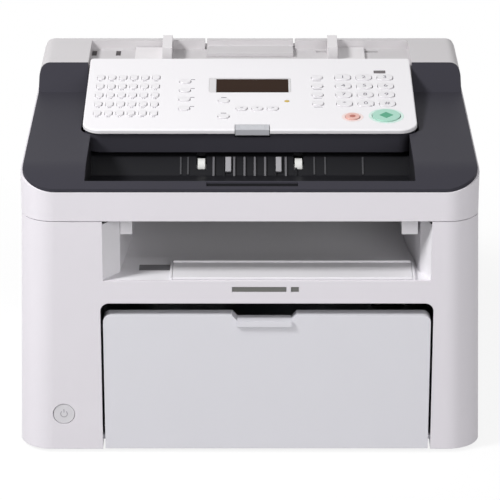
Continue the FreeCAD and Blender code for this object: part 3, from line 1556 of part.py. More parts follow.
DECK_BACK = f"({BACK} - size.rear_lean)"
RIM_Y = f"({DECK_BACK} - size.rim_depth)"
RECESS_FLOOR = f"({DECK_TOP} - size.recess_depth)"
FLOOR_UNDER = f"({RECESS_FLOOR} - size.wall)"
RACK_TOP = f"({FLOOR_UNDER} - size.rack_drop)"
RACK_LOW = f"({RACK_TOP} - size.rack_depth)"
PITCH_RADIUS = "(size.rack_module * size.rack_teeth / 2)"
FLAP_HINGE_Y = f"({DECK_BACK} - size.flap_inset)"
FLAP_HINGE_Z = f"({RECESS_FLOOR} + size.flap_rise)"
FLAP_FRONT = f"({DECK_BACK} - size.flap_depth)"


def neck_y(sign):
    """The strip through which a guide's foot reaches its rack, behind or in front of the pinion."""
    near = f"(size.pinion_y + {sign} * ({PITCH_RADIUS} + size.rack_module * 2))"
    return sorted((near, f"{near} + {sign} * size.rack_width"), key=num)


def neck_x(sign):
    inner = f"({sign} * (size.fence_inner + size.fence_width))"
    return sorted((inner, f"{inner} - {sign} * size.neck_width"), key=num)


def pin_spot():
    """The panel hinge's place, worked out along the panel's slope."""
    along = "(size.panel_length - size.panel_pin_inset)"
    y = f"(size.panel_y + {along} * cos(size.panel_tilt) + size.panel_pin_drop * sin(size.panel_tilt))"
    z = f"({PANEL_Z} + {along} * sin(size.panel_tilt) - size.panel_pin_drop * cos(size.panel_tilt))"
    return y, z


def rear_deck():
    piece = body()
    plan = box2d((neg(HALF_COVER), HALF_COVER), ("size.deck_y", BACK))
    pad(piece, "XY", [plan], BAND_TOP, DECK_TOP)
    middle = mid(BAND_TOP, DECK_TOP)
    round_edges(piece, "size.rear_corner", (neg(HALF_COVER), BACK, middle), (HALF_COVER, BACK, middle))
    recess = [
        ("size.deck_y", BAND_TOP),
        ("size.recess_step_y", RECESS_FLOOR),
        (RIM_Y, RECESS_FLOOR),
        (RIM_Y, DECK_TOP),
        ("size.deck_y", DECK_TOP),
    ]
    pocket(piece, "YZ", [recess], neg("size.recess_half"), "size.recess_half")
    lean = [(BACK, BAND_TOP), (BACK, DECK_TOP), (DECK_BACK, DECK_TOP)]
    pocket(piece, "YZ", [lean], neg(HALF_COVER), HALF_COVER)
    pocket(piece, "XZ", side_round(), "size.deck_y", BACK)
    under = [
        ("size.recess_step_y", BAND_TOP),
        (BACK_IN, BAND_TOP),
        (DECK_BACK, FLOOR_UNDER),
        ("size.recess_step_y", FLOOR_UNDER),
    ]
    pocket(piece, "YZ", [under], neg("size.recess_half"), "size.recess_half")
    outer = f"({HALF_COVER} - size.side_round)"
    side = ("(size.recess_half + size.panel_pin_reach + size.wall)", outer)
    cheek = ("size.deck_y + size.wall", f"{BACK} - size.rear_corner")
    for low, high in both_sides(*side):
        pocket(piece, "XY", [box2d((low, high), cheek)], BAND_TOP, f"{DECK_TOP} - size.wall")
    pin = disc(*pin_spot(), "size.panel_pin + size.running")
    pin_end = "(size.panel_half + size.panel_pin_reach + size.fit)"
    for low, high in both_sides("size.recess_half", pin_end):
        pocket(piece, "YZ", [pin], low, high)
    slots = []
    for sign in (-1, 1):
        x = neck_x(sign)
        travel = ("size.guide_out", "size.guide_in") if sign < 0 else ("size.guide_in", "size.guide_out")
        y = neck_y(sign)
        slots.append(box2d(
            (f"{x[0]} - {travel[0]} - size.fit", f"{x[1]} + {travel[1]} + size.fit"),
            (f"{y[0]} - size.fit", f"{y[1]} + size.fit"),
        ))
    pocket(piece, "XY", slots, FLOOR_UNDER, RECESS_FLOOR)
    post = disc("0", "size.pinion_y", "size.pinion_post")
    pad(piece, "XY", [post], RACK_LOW, FLOOR_UNDER)
    gap_half = "(size.flap_half + size.flap_gap)"
    gate = box2d((neg(gap_half), gap_half), (RIM_Y, BACK))
    pocket(piece, "XY", [gate], f"{RECESS_FLOOR} - size.flap_relief", DECK_TOP)
    axle = disc(FLAP_HINGE_Y, FLAP_HINGE_Z, "size.flap_pin + size.running")
    for low, high in both_sides(gap_half, "(size.flap_half + size.flap_pin_reach + size.fit)"):
        pocket(piece, "YZ", [axle], low, high)
    finish("rear_deck", piece)


# Document guides: two fences on racks that one pinion moves by equal amounts

def rack_points(start, length, face, sign, phase):
    """The toothed bar's outline; its teeth look towards the pinion."""
    module = num("size.rack_module")
    pitch = math.pi * module
    lean = math.tan(PRESSURE_ANGLE)
    half = pitch / 4 - num("size.rack_play") / 2
    tip, root = TIP_SHARE * module, ROOT_SHARE * module
    points = []
    count = int(length / pitch)
    for index in range(count):
        middle = start + (index + phase) * pitch
        for offset, height in (
            (-half - root * lean, -root), (-half + tip * lean, tip),
            (half - tip * lean, tip), (half + root * lean, -root),
        ):
            points.append(Vector(middle + offset, face - sign * height, 0))
    return points


def document_guide(label, sign):
    inner = f"({sign} * size.fence_inner)"
    outer = f"({sign} * (size.fence_inner + size.fence_width))"
    foot_end = f"({sign} * (size.fence_inner + size.fence_width + size.fence_foot))"
    y = ("size.fence_front_y", "(size.fence_front_y + size.fence_length)")
    low = f"({RECESS_FLOOR} + size.slide_gap)"
    fence = block(sorted((inner, outer), key=num), y, (low, f"{low} + size.fence_height"))
    foot = block(sorted((inner, foot_end), key=num), y, (low, f"{low} + size.foot_plate"))
    neck = block(neck_x(sign), neck_y(sign), (RACK_LOW, f"{low} + size.foot_plate / 2"))
    pitch = math.pi * num("size.rack_module")
    face = num(f"size.pinion_y + {sign} * {PITCH_RADIUS}")
    back = num(f"size.pinion_y + {sign} * ({PITCH_RADIUS} + size.rack_module * 2 + size.rack_width)")
    near_end = num(outer)
    far_end = near_end - sign * (abs(near_end) + num("size.rack_overlap"))
    first, last = sorted((near_end, far_end))
    # Teeth lie at whole pitches from the pinion's middle, with a tooth of the bar in its gap there
    teeth_start = math.ceil(first / pitch + 0.5) * pitch
    teeth = rack_points(teeth_start, last - teeth_start - pitch, face, sign, 0)
    root = face + sign * ROOT_SHARE * num("size.rack_module")
    level = num(RACK_LOW)
    ring = [Vector(first, back, level), Vector(first, root, level)]
    ring += [Vector(p.x, p.y, level) for p in teeth]
    ring += [Vector(last, root, level), Vector(last, back, level)]
    bar = Part.Face(Part.makePolygon(ring + ring[:1])).extrude(Vector(0, 0, num("size.rack_depth")))
    finish(label, fuse(fence, foot, neck, feature(bar)))


def guide_pinion():
    teeth = int(num("size.rack_teeth"))
    # The racks bear at the front and the back of the pinion, where it shows a gap between teeth
    phase = math.pi / 2 + math.pi / teeth
    ring = gear_ring(teeth, num("size.rack_module"), num("size.rack_play"), phase)
    level = num(RACK_LOW)
    y = num("size.pinion_y")
    points = [Vector(r * math.cos(a), y + r * math.sin(a), level) for r, a in ring]
    wheel = Part.Face(Part.makePolygon(points + points[:1]))
    wheel = wheel.extrude(Vector(0, 0, num("size.rack_depth")))
    bore = rod("z", "size.pinion_post + size.running", RACK_LOW, RACK_TOP, "0", "size.pinion_y")
    finish("guide_pinion", cut(feature(wheel), bore))


def document_support():
    half = "size.flap_half"
    x = (neg(half), half)
    low = f"({RECESS_FLOOR} + size.slide_gap)"
    top = f"({low} + size.flap_thickness)"
    plate = block(x, (FLAP_FRONT, FLAP_HINGE_Y), (low, top))
    rim = block(x, (f"{RIM_Y} + size.fit", f"{DECK_BACK} - size.fit"), (FLAP_HINGE_Z, DECK_TOP))
    barrel = rod("x", "size.flap_rise - size.slide_gap", *x, FLAP_HINGE_Y, FLAP_HINGE_Z)
    reach_out = "(size.flap_half + size.flap_pin_reach)"
    pin = rod("x", "size.flap_pin", neg(reach_out), reach_out, FLAP_HINGE_Y, FLAP_HINGE_Z)
    finish("document_support", fuse(plate, rim, barrel, pin))


# Operation panel: drawn flat with its front edge on X, then laid on its slope

def on_panel(label, solid):
    solid.Placement = Placement(Vector(), Rotation(Vector(1, 0, 0), num("size.panel_tilt")))
    solid.setExpression("Placement.Base.y", "size.panel_y")
    solid.setExpression("Placement.Base.z", PANEL_Z)
    solid.setExpression("Placement.Rotation.Angle", "size.panel_tilt")
    finish(label, solid)


UNDER = "(-size.wall)"
SKIRT = "(-size.panel_skirt)"
LCD_X = ("(-size.lcd_width / 2)", "(size.lcd_width / 2)")
LCD_V = ("(size.lcd_middle - size.lcd_depth / 2)", "(size.lcd_middle + size.lcd_depth / 2)")
LATCH_X = ("(size.latch_middle - size.latch_width / 2)", "(size.latch_middle + size.latch_width / 2)")
LATCH_PIN_V = "(size.latch_length - size.latch_pin_back)"
LATCH_PIN_W = "(-size.latch_thickness / 2)"
BOSS_LOW = "(-size.latch_thickness - size.latch_boss_drop)"
BOSS_END = "(size.latch_length + size.latch_gap + size.wall)"
ROWS, COLUMNS = 5, 6
NUMBER_ROWS, NUMBER_COLUMNS = 4, 3
SIDE_KEYS, MENU_KEYS, ARROW_KEYS = 4, 2, 3
NUMBER_NAMES = ("star", "0", "hash", "7", "8", "9", "4", "5", "6", "1", "2", "3")


def key_plan(x, v, width, depth, radius, grow):
    return rounded(
        (f"({x} - {width} / 2 - {grow})", f"({x} + {width} / 2 + {grow})"),
        (f"({v} - {depth} / 2 - {grow})", f"({v} + {depth} / 2 + {grow})"),
        f"({radius} + {grow})",
    )


def one_touch_plan(x, v, grow):
    return key_plan(x, v, "size.one_touch_width", "size.one_touch_depth", "size.one_touch_round", grow)


def function_plan(x, v, grow):
    return key_plan(x, v, "size.function_width", "size.function_depth", "size.function_round", grow)


def number_plan(x, v, grow):
    return key_plan(x, v, "size.number_width", "size.number_depth", "size.number_round", grow)


ONE_TOUCH_SPOTS = [
    (f"(size.one_touch_x + {i} * size.one_touch_pitch)", f"(size.one_touch_v + {j} * size.one_touch_row)")
    for j in range(ROWS) for i in range(COLUMNS)
]
NUMBER_SPOTS = [
    (f"(size.number_x + {i} * size.number_pitch)", f"(size.number_v + {j} * size.number_row)")
    for j in range(NUMBER_ROWS) for i in range(NUMBER_COLUMNS)
]
FUNCTION_SPOTS = (
    [("size.side_key_x", f"(size.side_key_v + {j} * size.side_key_row)") for j in range(SIDE_KEYS)]
    + [("size.menu_key_x", f"(size.menu_key_v + {j} * size.menu_key_row)") for j in range(MENU_KEYS)]
    + [(f"(size.arrow_key_x + {i} * size.arrow_key_pitch)", "size.arrow_key_v") for i in range(ARROW_KEYS)]
    + [("size.dial_key_x", f"(size.number_v + {j} * size.number_row)") for j in range(NUMBER_ROWS)]
)


def panel_cover():
    piece = body()
    half = "size.panel_half"
    ends = ("0", "size.panel_length")
    pad(piece, "XY", [box2d((neg(half), half), ends)], SKIRT, "0")
    middle = mid(SKIRT, "0")
    inner_middle = mid(SKIRT, UNDER)
    inner = "(size.panel_half - size.wall)"
    hollow = box2d((neg(inner), inner), ("size.wall", "size.panel_length - size.wall"))
    pocket(piece, "XY", [hollow], SKIRT, UNDER)
    for radius, v in (
        ("size.panel_front_round - size.wall", "size.wall"),
        ("size.panel_rear_round - size.wall", "size.panel_length - size.wall"),
    ):
        round_edges(piece, radius, (neg(inner), v, inner_middle), (inner, v, inner_middle))
    for radius, v in (("size.panel_front_round", "0"), ("size.panel_rear_round", "size.panel_length")):
        round_edges(piece, radius, (neg(half), v, middle), (half, v, middle))
    round_edges(piece, "size.panel_edge", ("0", "0", "0"))
    boss_v = ("size.tub_inset + size.wall + size.fit", BOSS_END)
    gap = "size.latch_gap"
    bosses = [
        box2d((f"{LATCH_X[0]} - {gap} - size.latch_boss", f"{LATCH_X[0]} - {gap}"), boss_v),
        box2d((f"{LATCH_X[1]} + {gap}", f"{LATCH_X[1]} + {gap} + size.latch_boss"), boss_v),
    ]
    pad(piece, "XY", bosses, BOSS_LOW, UNDER)
    notch = box2d(
        (f"{LATCH_X[0]} - {gap}", f"{LATCH_X[1]} + {gap}"), ("0", "size.latch_length + size.latch_gap"),
    )
    pocket(piece, "XY", [notch], BOSS_LOW, "0")
    latch_hole = disc(LATCH_PIN_V, LATCH_PIN_W, "size.latch_pin + size.running")
    reach_out = "(size.latch_gap + size.latch_boss)"
    pocket(piece, "YZ", [latch_hole], f"{LATCH_X[0]} - {reach_out}", f"{LATCH_X[1]} + {reach_out}")
    round_keys = [
        disc("size.stop_x", "size.stop_v", "size.stop_radius + size.key_gap"),
        disc("size.start_x", "size.start_v", "size.start_radius + size.key_gap"),
    ]
    window = rounded(LCD_X, LCD_V, "size.lcd_corner")
    pocket(piece, "XY", [window] + round_keys, UNDER, "0")
    ear = box2d(
        ("size.panel_length - 2 * size.panel_pin_inset", "size.panel_length - size.panel_rear_round"),
        ("(-size.panel_pin_drop - 2 * size.panel_pin)", UNDER),
    )
    pin = disc("(size.panel_length - size.panel_pin_inset)", "(-size.panel_pin_drop)", "size.panel_pin")
    for low, high in both_sides(inner, half):
        pad(piece, "YZ", [ear], low, high)
    for low, high in both_sides(inner, "(size.panel_half + size.panel_pin_reach)"):
        pad(piece, "YZ", [pin], low, high)
    holes = []
    for plan, spots in (
        (one_touch_plan, ONE_TOUCH_SPOTS), (function_plan, FUNCTION_SPOTS), (number_plan, NUMBER_SPOTS),
    ):
        for x, v in spots:
            hole = body()
            pad(hole, "XY", [plan(x, v, "size.key_gap")], SKIRT, "size.key_proud")
            holes.append(hole)
    on_panel("panel_cover", cut(piece, *holes))


TUB_BOTTOM = "(-size.panel_skirt - size.tub_depth)"
# The tub ends where its lower rear edge meets the deck, measured along the slope
TUB_RUN = f"(size.deck_y - size.seam - size.panel_y + {TUB_BOTTOM} * sin(size.panel_tilt))"
TUB_END = f"({TUB_RUN} / cos(size.panel_tilt))"


def panel_base():
    piece = body()
    half = "(size.panel_half - size.tub_inset)"
    v = ("size.tub_inset", TUB_END)
    pad(piece, "XY", [box2d((neg(half), half), v)], TUB_BOTTOM, SKIRT)
    middle = mid(TUB_BOTTOM, SKIRT)
    corner = "size.panel_front_round - size.tub_inset"
    round_edges(piece, corner, (neg(half), v[0], middle), (half, v[0], middle))
    inner = f"({half} - size.wall)"
    hollow = rounded(
        (neg(inner), inner), (f"({v[0]} + size.wall)", f"({v[1]} - size.wall)"),
        "(size.panel_front_round - size.tub_inset - size.wall)",
    )
    pocket(piece, "XY", [hollow], f"{TUB_BOTTOM} + size.wall", SKIRT)
    room = "size.latch_gap"
    notch = box2d((f"{LATCH_X[0]} - {room}", f"{LATCH_X[1]} + {room}"), ("0", f"{BOSS_END} + size.fit"))
    pocket(piece, "XY", [notch], "(-size.latch_thickness - size.latch_swing)", SKIRT)
    on_panel("panel_base", piece)


def panel_board():
    inner = "(size.panel_half - size.wall - size.fit)"
    low = "(-size.board_drop - size.board_thickness)"
    top = "(-size.board_drop)"
    tub_half = "(size.panel_half - size.tub_inset - size.wall - size.fit)"
    corner = "size.panel_front_round"
    board_v = (f"size.tub_inset + size.wall + {corner}", f"{TUB_END} - size.wall - {corner}")
    sheet_block = block((neg(tub_half), tub_half), board_v, (low, top))
    module = block(LCD_X, LCD_V, (top, "(-size.wall)"))
    post_z = (f"{TUB_BOTTOM} + size.wall", low)
    posts = [
        rod("z", "size.board_post", *post_z, f"{i} * ({inner} - size.panel_front_round)", v)
        for i in (-1, 1)
        for v in (f"{corner} * 2", f"{TUB_END} - {corner} * 2")
    ]
    on_panel("panel_board", fuse(sheet_block, module, *posts))


def lcd_window():
    piece = body()
    pane = rounded(LCD_X, LCD_V, "size.lcd_corner")
    pad(piece, "XY", [pane], UNDER, "(-size.lcd_sink)")
    on_panel("lcd_window", piece)


def panel_latch():
    piece = body()
    low = "(-size.latch_thickness)"
    tab = box2d(LATCH_X, ("size.slide_gap", "size.latch_length"))
    pad(piece, "XY", [tab], low, "0")
    pin = disc(LATCH_PIN_V, LATCH_PIN_W, "size.latch_pin")
    reach_out = "(size.latch_gap + size.latch_boss)"
    pad(piece, "YZ", [pin], f"{LATCH_X[0]} - {reach_out}", f"{LATCH_X[1]} + {reach_out}")
    on_panel("panel_latch", piece)


# Keys: caps that stand proud of the panel, each with a rim that keeps it from falling out

RIM_TOP = "(-size.wall - size.slide_gap)"
RIM_LOW = f"({RIM_TOP} - size.key_rim_depth)"


def keys(label, plan, spots):
    caps = []
    for x, v in spots:
        piece = body()
        pad(piece, "XY", [plan(x, v, "0")], RIM_LOW, "size.key_proud")
        pad(piece, "XY", [plan(x, v, "size.key_rim")], RIM_LOW, RIM_TOP)
        caps.append(piece)
    on_panel(label, caps[0] if len(caps) == 1 else fuse(*caps))


def round_key(label, x, v, radius):
    cap = rod("z", radius, RIM_LOW, "size.key_proud", x, v)
    rim = rod("z", f"{radius} + size.key_rim", RIM_LOW, RIM_TOP, x, v)
    on_panel(label, fuse(cap, rim))


def all_keys():
    keys("one_touch_keys", one_touch_plan, ONE_TOUCH_SPOTS)
    keys("function_keys", function_plan, FUNCTION_SPOTS)
    for name, spot in zip(NUMBER_NAMES, NUMBER_SPOTS):
        keys(f"number_key_{name}", number_plan, [spot])
    round_key("stop_key", "size.stop_x", "size.stop_v", "size.stop_radius")
    round_key("start_key", "size.start_x", "size.start_v", "size.start_radius")


# The assembly, from the floor up

floor_pan()
rubber_feet()
chassis_frame()
lift_plate()
lift_springs()
paper_guide("left_paper_guide", -1)
paper_guide("right_paper_guide", 1)
engine_rollers()
gear_train()
toner_cartridge()
laser_unit()
fuser_housing()
circuit_boards()
output_tray()
output_extension()
front_fascia()
rear_case()
rear_sockets()
case_screws()
power_button()
tray_cover()
top_band()
top_cover()
document_chute()
document_rollers()
image_sensor()
rear_deck()
document_guide("left_document_guide", -1)
document_guide("right_document_guide", 1)
guide_pinion()
document_support()
panel_cover()
panel_base()
panel_board()
lcd_window()
panel_latch()
all_keys()

# Checks, then one file for each piece

doc.recompute()
for item in doc.Objects:
    if "Invalid" in item.State or "Error" in item.State:
        raise RuntimeError(f"{item.Name} ({item.Label}) failed: {item.State}")
for node in nodes:
    if node.Shape.isNull() or not node.Shape.isValid():
        raise RuntimeError(f"{node.Label} has no valid shape")
os.makedirs("parts", exist_ok=True)
for node in nodes:
    node.Shape.exportStep(os.path.join("parts", f"{node.Label}.step"))
print(len(nodes), "pieces written")
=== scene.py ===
import math
import bmesh
import bpy
from mathutils import Matrix, Vector


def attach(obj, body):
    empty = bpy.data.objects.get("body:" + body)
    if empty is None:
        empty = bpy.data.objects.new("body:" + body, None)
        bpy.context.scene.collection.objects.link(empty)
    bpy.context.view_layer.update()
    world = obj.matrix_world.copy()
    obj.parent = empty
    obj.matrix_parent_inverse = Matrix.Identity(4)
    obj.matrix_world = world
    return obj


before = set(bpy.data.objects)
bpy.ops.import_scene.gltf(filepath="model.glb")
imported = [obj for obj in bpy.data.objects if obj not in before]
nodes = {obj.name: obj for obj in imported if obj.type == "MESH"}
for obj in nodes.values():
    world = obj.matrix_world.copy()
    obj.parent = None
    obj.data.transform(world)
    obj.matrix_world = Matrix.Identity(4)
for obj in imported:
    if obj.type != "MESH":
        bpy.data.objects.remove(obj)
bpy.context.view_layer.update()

# Floor pan, side plates and lift plate: sheet steel, zinc plated, bent and punched. The pan is
# screwed to the case, the side plates carry the shafts of the print engine, and springs of bright
# wire stand under the lift plate.

DRIFT_SCALE, DRIFT_DETAIL = 14, 4
NOISE_MIDDLE = 0.5
SHEEN_SWING = 0.12
GRAIN_DETAIL = 2
GRAIN_RELIEF = 0.0001
EDGE_FLAT, EDGE_SHARP = 0.98, 0.75


def add(tree, kind, **settings):
    """A new node in a tree, with its settings."""
    node = tree.nodes.new(kind)
    for key, value in settings.items():
        setattr(node, key, value)
    return node


def link(tree, source, target):
    tree.links.new(source, target)


def map_range(tree, near, far, low, high):
    """A node that turns values from near to far into values from low to high."""
    node = add(tree, "ShaderNodeMapRange")
    for label, value in zip(("From Min", "From Max", "To Min", "To Max"), (near, far, low, high)):
        node.inputs[label].default_value = value
    return node


def group_tree(name, inputs, outputs):
    """An empty shader group with its sockets; inputs are name, kind and starting value."""
    tree = bpy.data.node_groups.new(name, "ShaderNodeTree")
    for label, kind, value in inputs:
        socket = tree.interface.new_socket(name=label, in_out="INPUT", socket_type=f"NodeSocket{kind}")
        socket.default_value = value
    for label, kind in outputs:
        tree.interface.new_socket(name=label, in_out="OUTPUT", socket_type=f"NodeSocket{kind}")
    return tree, add(tree, "NodeGroupInput"), add(tree, "NodeGroupOutput")


def surface_grain_group():
    """Fine grain, a slow drift of tone and slightly broken edges, for moulded and plated pieces."""
    tree, inside, out = group_tree(
        "surface_grain",
        (
            ("Colour", "Color", (0.8, 0.8, 0.8, 1)),
            ("Drift", "Float", 0.04),
            ("Roughness", "Float", 0.5),
            ("Grain Scale", "Float", 1800.0),
            ("Grain Depth", "Float", 0.1),
            ("Edge Radius", "Float", 0.0006),
            ("Edge Tone", "Float", 0.06),
        ),
        (("Colour", "Color"), ("Roughness", "Float"), ("Normal", "Vector")),
    )
    place = add(tree, "ShaderNodeTexCoord").outputs["Object"]
    slow = add(tree, "ShaderNodeTexNoise")
    slow.inputs["Scale"].default_value = DRIFT_SCALE
    slow.inputs["Detail"].default_value = DRIFT_DETAIL
    link(tree, place, slow.inputs["Vector"])
    centred = add(tree, "ShaderNodeMath", operation="SUBTRACT")
    centred.inputs[1].default_value = NOISE_MIDDLE
    link(tree, slow.outputs[0], centred.inputs[0])
    swing = add(tree, "ShaderNodeMath", operation="MULTIPLY")
    link(tree, centred.outputs[0], swing.inputs[0])
    link(tree, inside.outputs["Drift"], swing.inputs[1])

    soft = add(tree, "ShaderNodeBevel", samples=4)
    link(tree, inside.outputs["Edge Radius"], soft.inputs["Radius"])
    facing = add(tree, "ShaderNodeNewGeometry")
    match = add(tree, "ShaderNodeVectorMath", operation="DOT_PRODUCT")
    link(tree, soft.outputs[0], match.inputs[0])
    link(tree, facing.outputs["Normal"], match.inputs[1])
    edge = map_range(tree, EDGE_FLAT, EDGE_SHARP, 0, 1)
    link(tree, match.outputs["Value"], edge.inputs["Value"])
    rub = add(tree, "ShaderNodeMath", operation="MULTIPLY_ADD")
    link(tree, edge.outputs["Result"], rub.inputs[0])
    link(tree, inside.outputs["Edge Tone"], rub.inputs[1])
    link(tree, swing.outputs[0], rub.inputs[2])
    tone = add(tree, "ShaderNodeHueSaturation")
    lift = add(tree, "ShaderNodeMath", operation="ADD")
    lift.inputs[1].default_value = 1
    link(tree, rub.outputs[0], lift.inputs[0])
    link(tree, lift.outputs[0], tone.inputs["Value"])
    link(tree, inside.outputs["Colour"], tone.inputs["Color"])
    link(tree, tone.outputs["Color"], out.inputs["Colour"])

    fine = add(tree, "ShaderNodeTexNoise")
    fine.inputs["Detail"].default_value = GRAIN_DETAIL
    link(tree, place, fine.inputs["Vector"])
    link(tree, inside.outputs["Grain Scale"], fine.inputs["Scale"])
    bump = add(tree, "ShaderNodeBump")
    bump.inputs["Distance"].default_value = GRAIN_RELIEF
    link(tree, inside.outputs["Grain Depth"], bump.inputs["Strength"])
    link(tree, fine.outputs[0], bump.inputs["Height"])
    link(tree, soft.outputs[0], bump.inputs["Normal"])
    link(tree, bump.outputs[0], out.inputs["Normal"])

    sheen = add(tree, "ShaderNodeMath", operation="MULTIPLY_ADD")
    sheen.inputs[1].default_value = SHEEN_SWING
    link(tree, centred.outputs[0], sheen.inputs[0])
    link(tree, inside.outputs["Roughness"], sheen.inputs[2])
    link(tree, sheen.outputs[0], out.inputs["Roughness"])
    return tree


GRAIN = surface_grain_group()


def linear(red, green, blue):
    """A colour as it is seen, 0 to 255, made linear."""
    seen = [channel / 255 for channel in (red, green, blue)]
    return tuple(c / 12.92 if c <= 0.04045 else ((c + 0.055) / 1.055) ** 2.4 for c in seen) + (1,)


def finish_material(name, colour, metallic=0.0, shine=0.5, **grain):
    """A material on the shared grain; shine is the level of its mirror reflection."""
    material = bpy.data.materials.new(name)
    material.use_nodes = True
    tree = material.node_tree
    shader = tree.nodes["Principled BSDF"]
    shader.inputs["Metallic"].default_value = metallic
    shader.inputs["Specular IOR Level"].default_value = shine
    texture = add(tree, "ShaderNodeGroup", node_tree=GRAIN)
    texture.inputs["Colour"].default_value = colour
    for label, value in grain.items():
        texture.inputs[label.replace("_", " ").title()].default_value = value
    link(tree, texture.outputs["Colour"], shader.inputs["Base Color"])
    link(tree, texture.outputs["Roughness"], shader.inputs["Roughness"])
    link(tree, texture.outputs["Normal"], shader.inputs["Normal"])
    return material


def dress(material, *names):
    """Gives the named pieces of the frame their material."""
    for name in names:
        slots = nodes[name].data.materials
        slots.clear()
        slots.append(material)


zinc_steel = finish_material(
    "zinc_steel", linear(176, 178, 182), metallic=1.0, roughness=0.38, drift=0.25, grain_scale=420.0,
    grain_depth=0.08, edge_radius=0.0004,
)
dress(zinc_steel, "base_pan", "chassis_frame", "lift_plate")
bright_wire = finish_material(
    "bright_wire", linear(190, 190, 192), metallic=1.0, roughness=0.22, drift=0.1, edge_radius=0.0001,
)
dress(bright_wire, "lift_springs")

# Feet and rollers: four moulded rubber discs stuck under the pan, and the rubber coats of the
# rollers that carry the paper, each ground round on its shaft.

rubber = finish_material(
    "black_rubber", linear(42, 42, 43), roughness=0.82, drift=0.2, grain_depth=0.3, edge_radius=0.0008,
)
dress(
    rubber, "rubber_feet", "pickup_roller", "transfer_roller", "pressure_roller", "exit_roller",
    "feed_roller",
)

# Print engine: black moulded cartridge, laser box and fuser between the side plates, a coated drum,
# white nylon gears outside the left plate, a small motor on its inner face, and green boards on
# posts outside the right plate. The paper guides and the image sensor are of the same black.

black_moulding = finish_material(
    "black_moulding", linear(44, 44, 47), roughness=0.55, drift=0.15, grain_depth=0.25,
)
dress(
    black_moulding, "toner_cartridge", "laser_unit", "fuser_housing", "left_paper_guide",
    "right_paper_guide", "image_sensor",
)
drum_coat = finish_material(
    "drum_coat", linear(92, 150, 150), metallic=0.6, roughness=0.18, drift=0.05, edge_radius=0.0003,
)
dress(drum_coat, "photo_drum")
nylon = finish_material(
    "white_nylon", linear(226, 222, 210), roughness=0.42, drift=0.06, edge_radius=0.0003,
)
dress(nylon, "idler_gear", "motor_pinion", "guide_pinion")
motor_can = finish_material(
    "motor_can", linear(120, 122, 126), metallic=1.0, roughness=0.45, drift=0.2, edge_radius=0.0008,
)
dress(motor_can, "drive_motor")
solder_mask = finish_material(
    "solder_mask", linear(38, 96, 62), roughness=0.35, drift=0.25, grain_scale=300.0,
)
dress(solder_mask, "circuit_boards", "panel_board")

# Delivery tray: light grey moulding behind the slot, with a flat plate that slides out in front to
# hold long sheets. A small horn stands on each side wall under the slot's upper edge. A thin dark
# grey sheet on the floor beside the plate is painted shade where the shallow finger hollow lies.

MM = 0.001
HORNS = (("left", -99.2, 9.6), ("right", 128, 13))
HORN_BEHIND, HORN_LEVEL = -134, 189
HORN_DEPTH, HORN_HEIGHT = 10, 12
HOLLOW_SHADE_SPOT = (-77, -131, 151.02)
tray_plastic = finish_material(
    "tray_plastic", linear(234, 232, 236), roughness=0.5, drift=0.05, grain_depth=0.12,
)
dress(tray_plastic, "output_tray", "output_extension")


def mesh_piece(name, body, mesh, material=None):
    """Sets a mesh on a body; without a material the mesh keeps the one it was grown with."""
    piece = bpy.data.objects.new(name, mesh)
    bpy.context.collection.objects.link(piece)
    if material:
        mesh.materials.clear()
        mesh.materials.append(material)
    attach(piece, body)


def geometry_tree(name, sizes):
    """A node tree that takes points and named sizes and gives a mesh."""
    tree = bpy.data.node_groups.new(name, "GeometryNodeTree")
    tree.interface.new_socket(name="Points", in_out="INPUT", socket_type="NodeSocketGeometry")
    for label in sizes:
        tree.interface.new_socket(name=label, in_out="INPUT", socket_type="NodeSocketFloat")
    tree.interface.new_socket(name="Material", in_out="INPUT", socket_type="NodeSocketMaterial")
    tree.interface.new_socket(name="Mesh", in_out="OUTPUT", socket_type="NodeSocketGeometry")
    return tree, add(tree, "NodeGroupInput"), add(tree, "NodeGroupOutput")


def end_tree(tree, inside, out, shape):
    """Tilts the shape about X, sets it on every point, makes it real and gives it its material."""
    turn = add(tree, "ShaderNodeCombineXYZ")
    link(tree, inside.outputs["Tilt"], turn.inputs["X"])
    tilted = add(tree, "GeometryNodeTransform")
    link(tree, shape, tilted.inputs["Geometry"])
    link(tree, turn.outputs[0], tilted.inputs["Rotation"])
    spread = add(tree, "GeometryNodeInstanceOnPoints")
    link(tree, inside.outputs["Points"], spread.inputs["Points"])
    link(tree, tilted.outputs["Geometry"], spread.inputs["Instance"])
    real = add(tree, "GeometryNodeRealizeInstances")
    link(tree, spread.outputs["Instances"], real.inputs["Geometry"])
    paint = add(tree, "GeometryNodeSetMaterial")
    link(tree, real.outputs["Geometry"], paint.inputs["Geometry"])
    link(tree, inside.outputs["Material"], paint.inputs["Material"])
    link(tree, paint.outputs["Geometry"], out.inputs["Mesh"])
    return tree


def box_tree():
    """A box on every point."""
    tree, inside, out = geometry_tree("set_boxes", ("Width", "Depth", "Height", "Tilt"))
    size = add(tree, "ShaderNodeCombineXYZ")
    for axis, label in zip("XYZ", ("Width", "Depth", "Height")):
        link(tree, inside.outputs[label], size.inputs[axis])
    box = add(tree, "GeometryNodeMeshCube")
    link(tree, size.outputs[0], box.inputs["Size"])
    return end_tree(tree, inside, out, box.outputs["Mesh"])


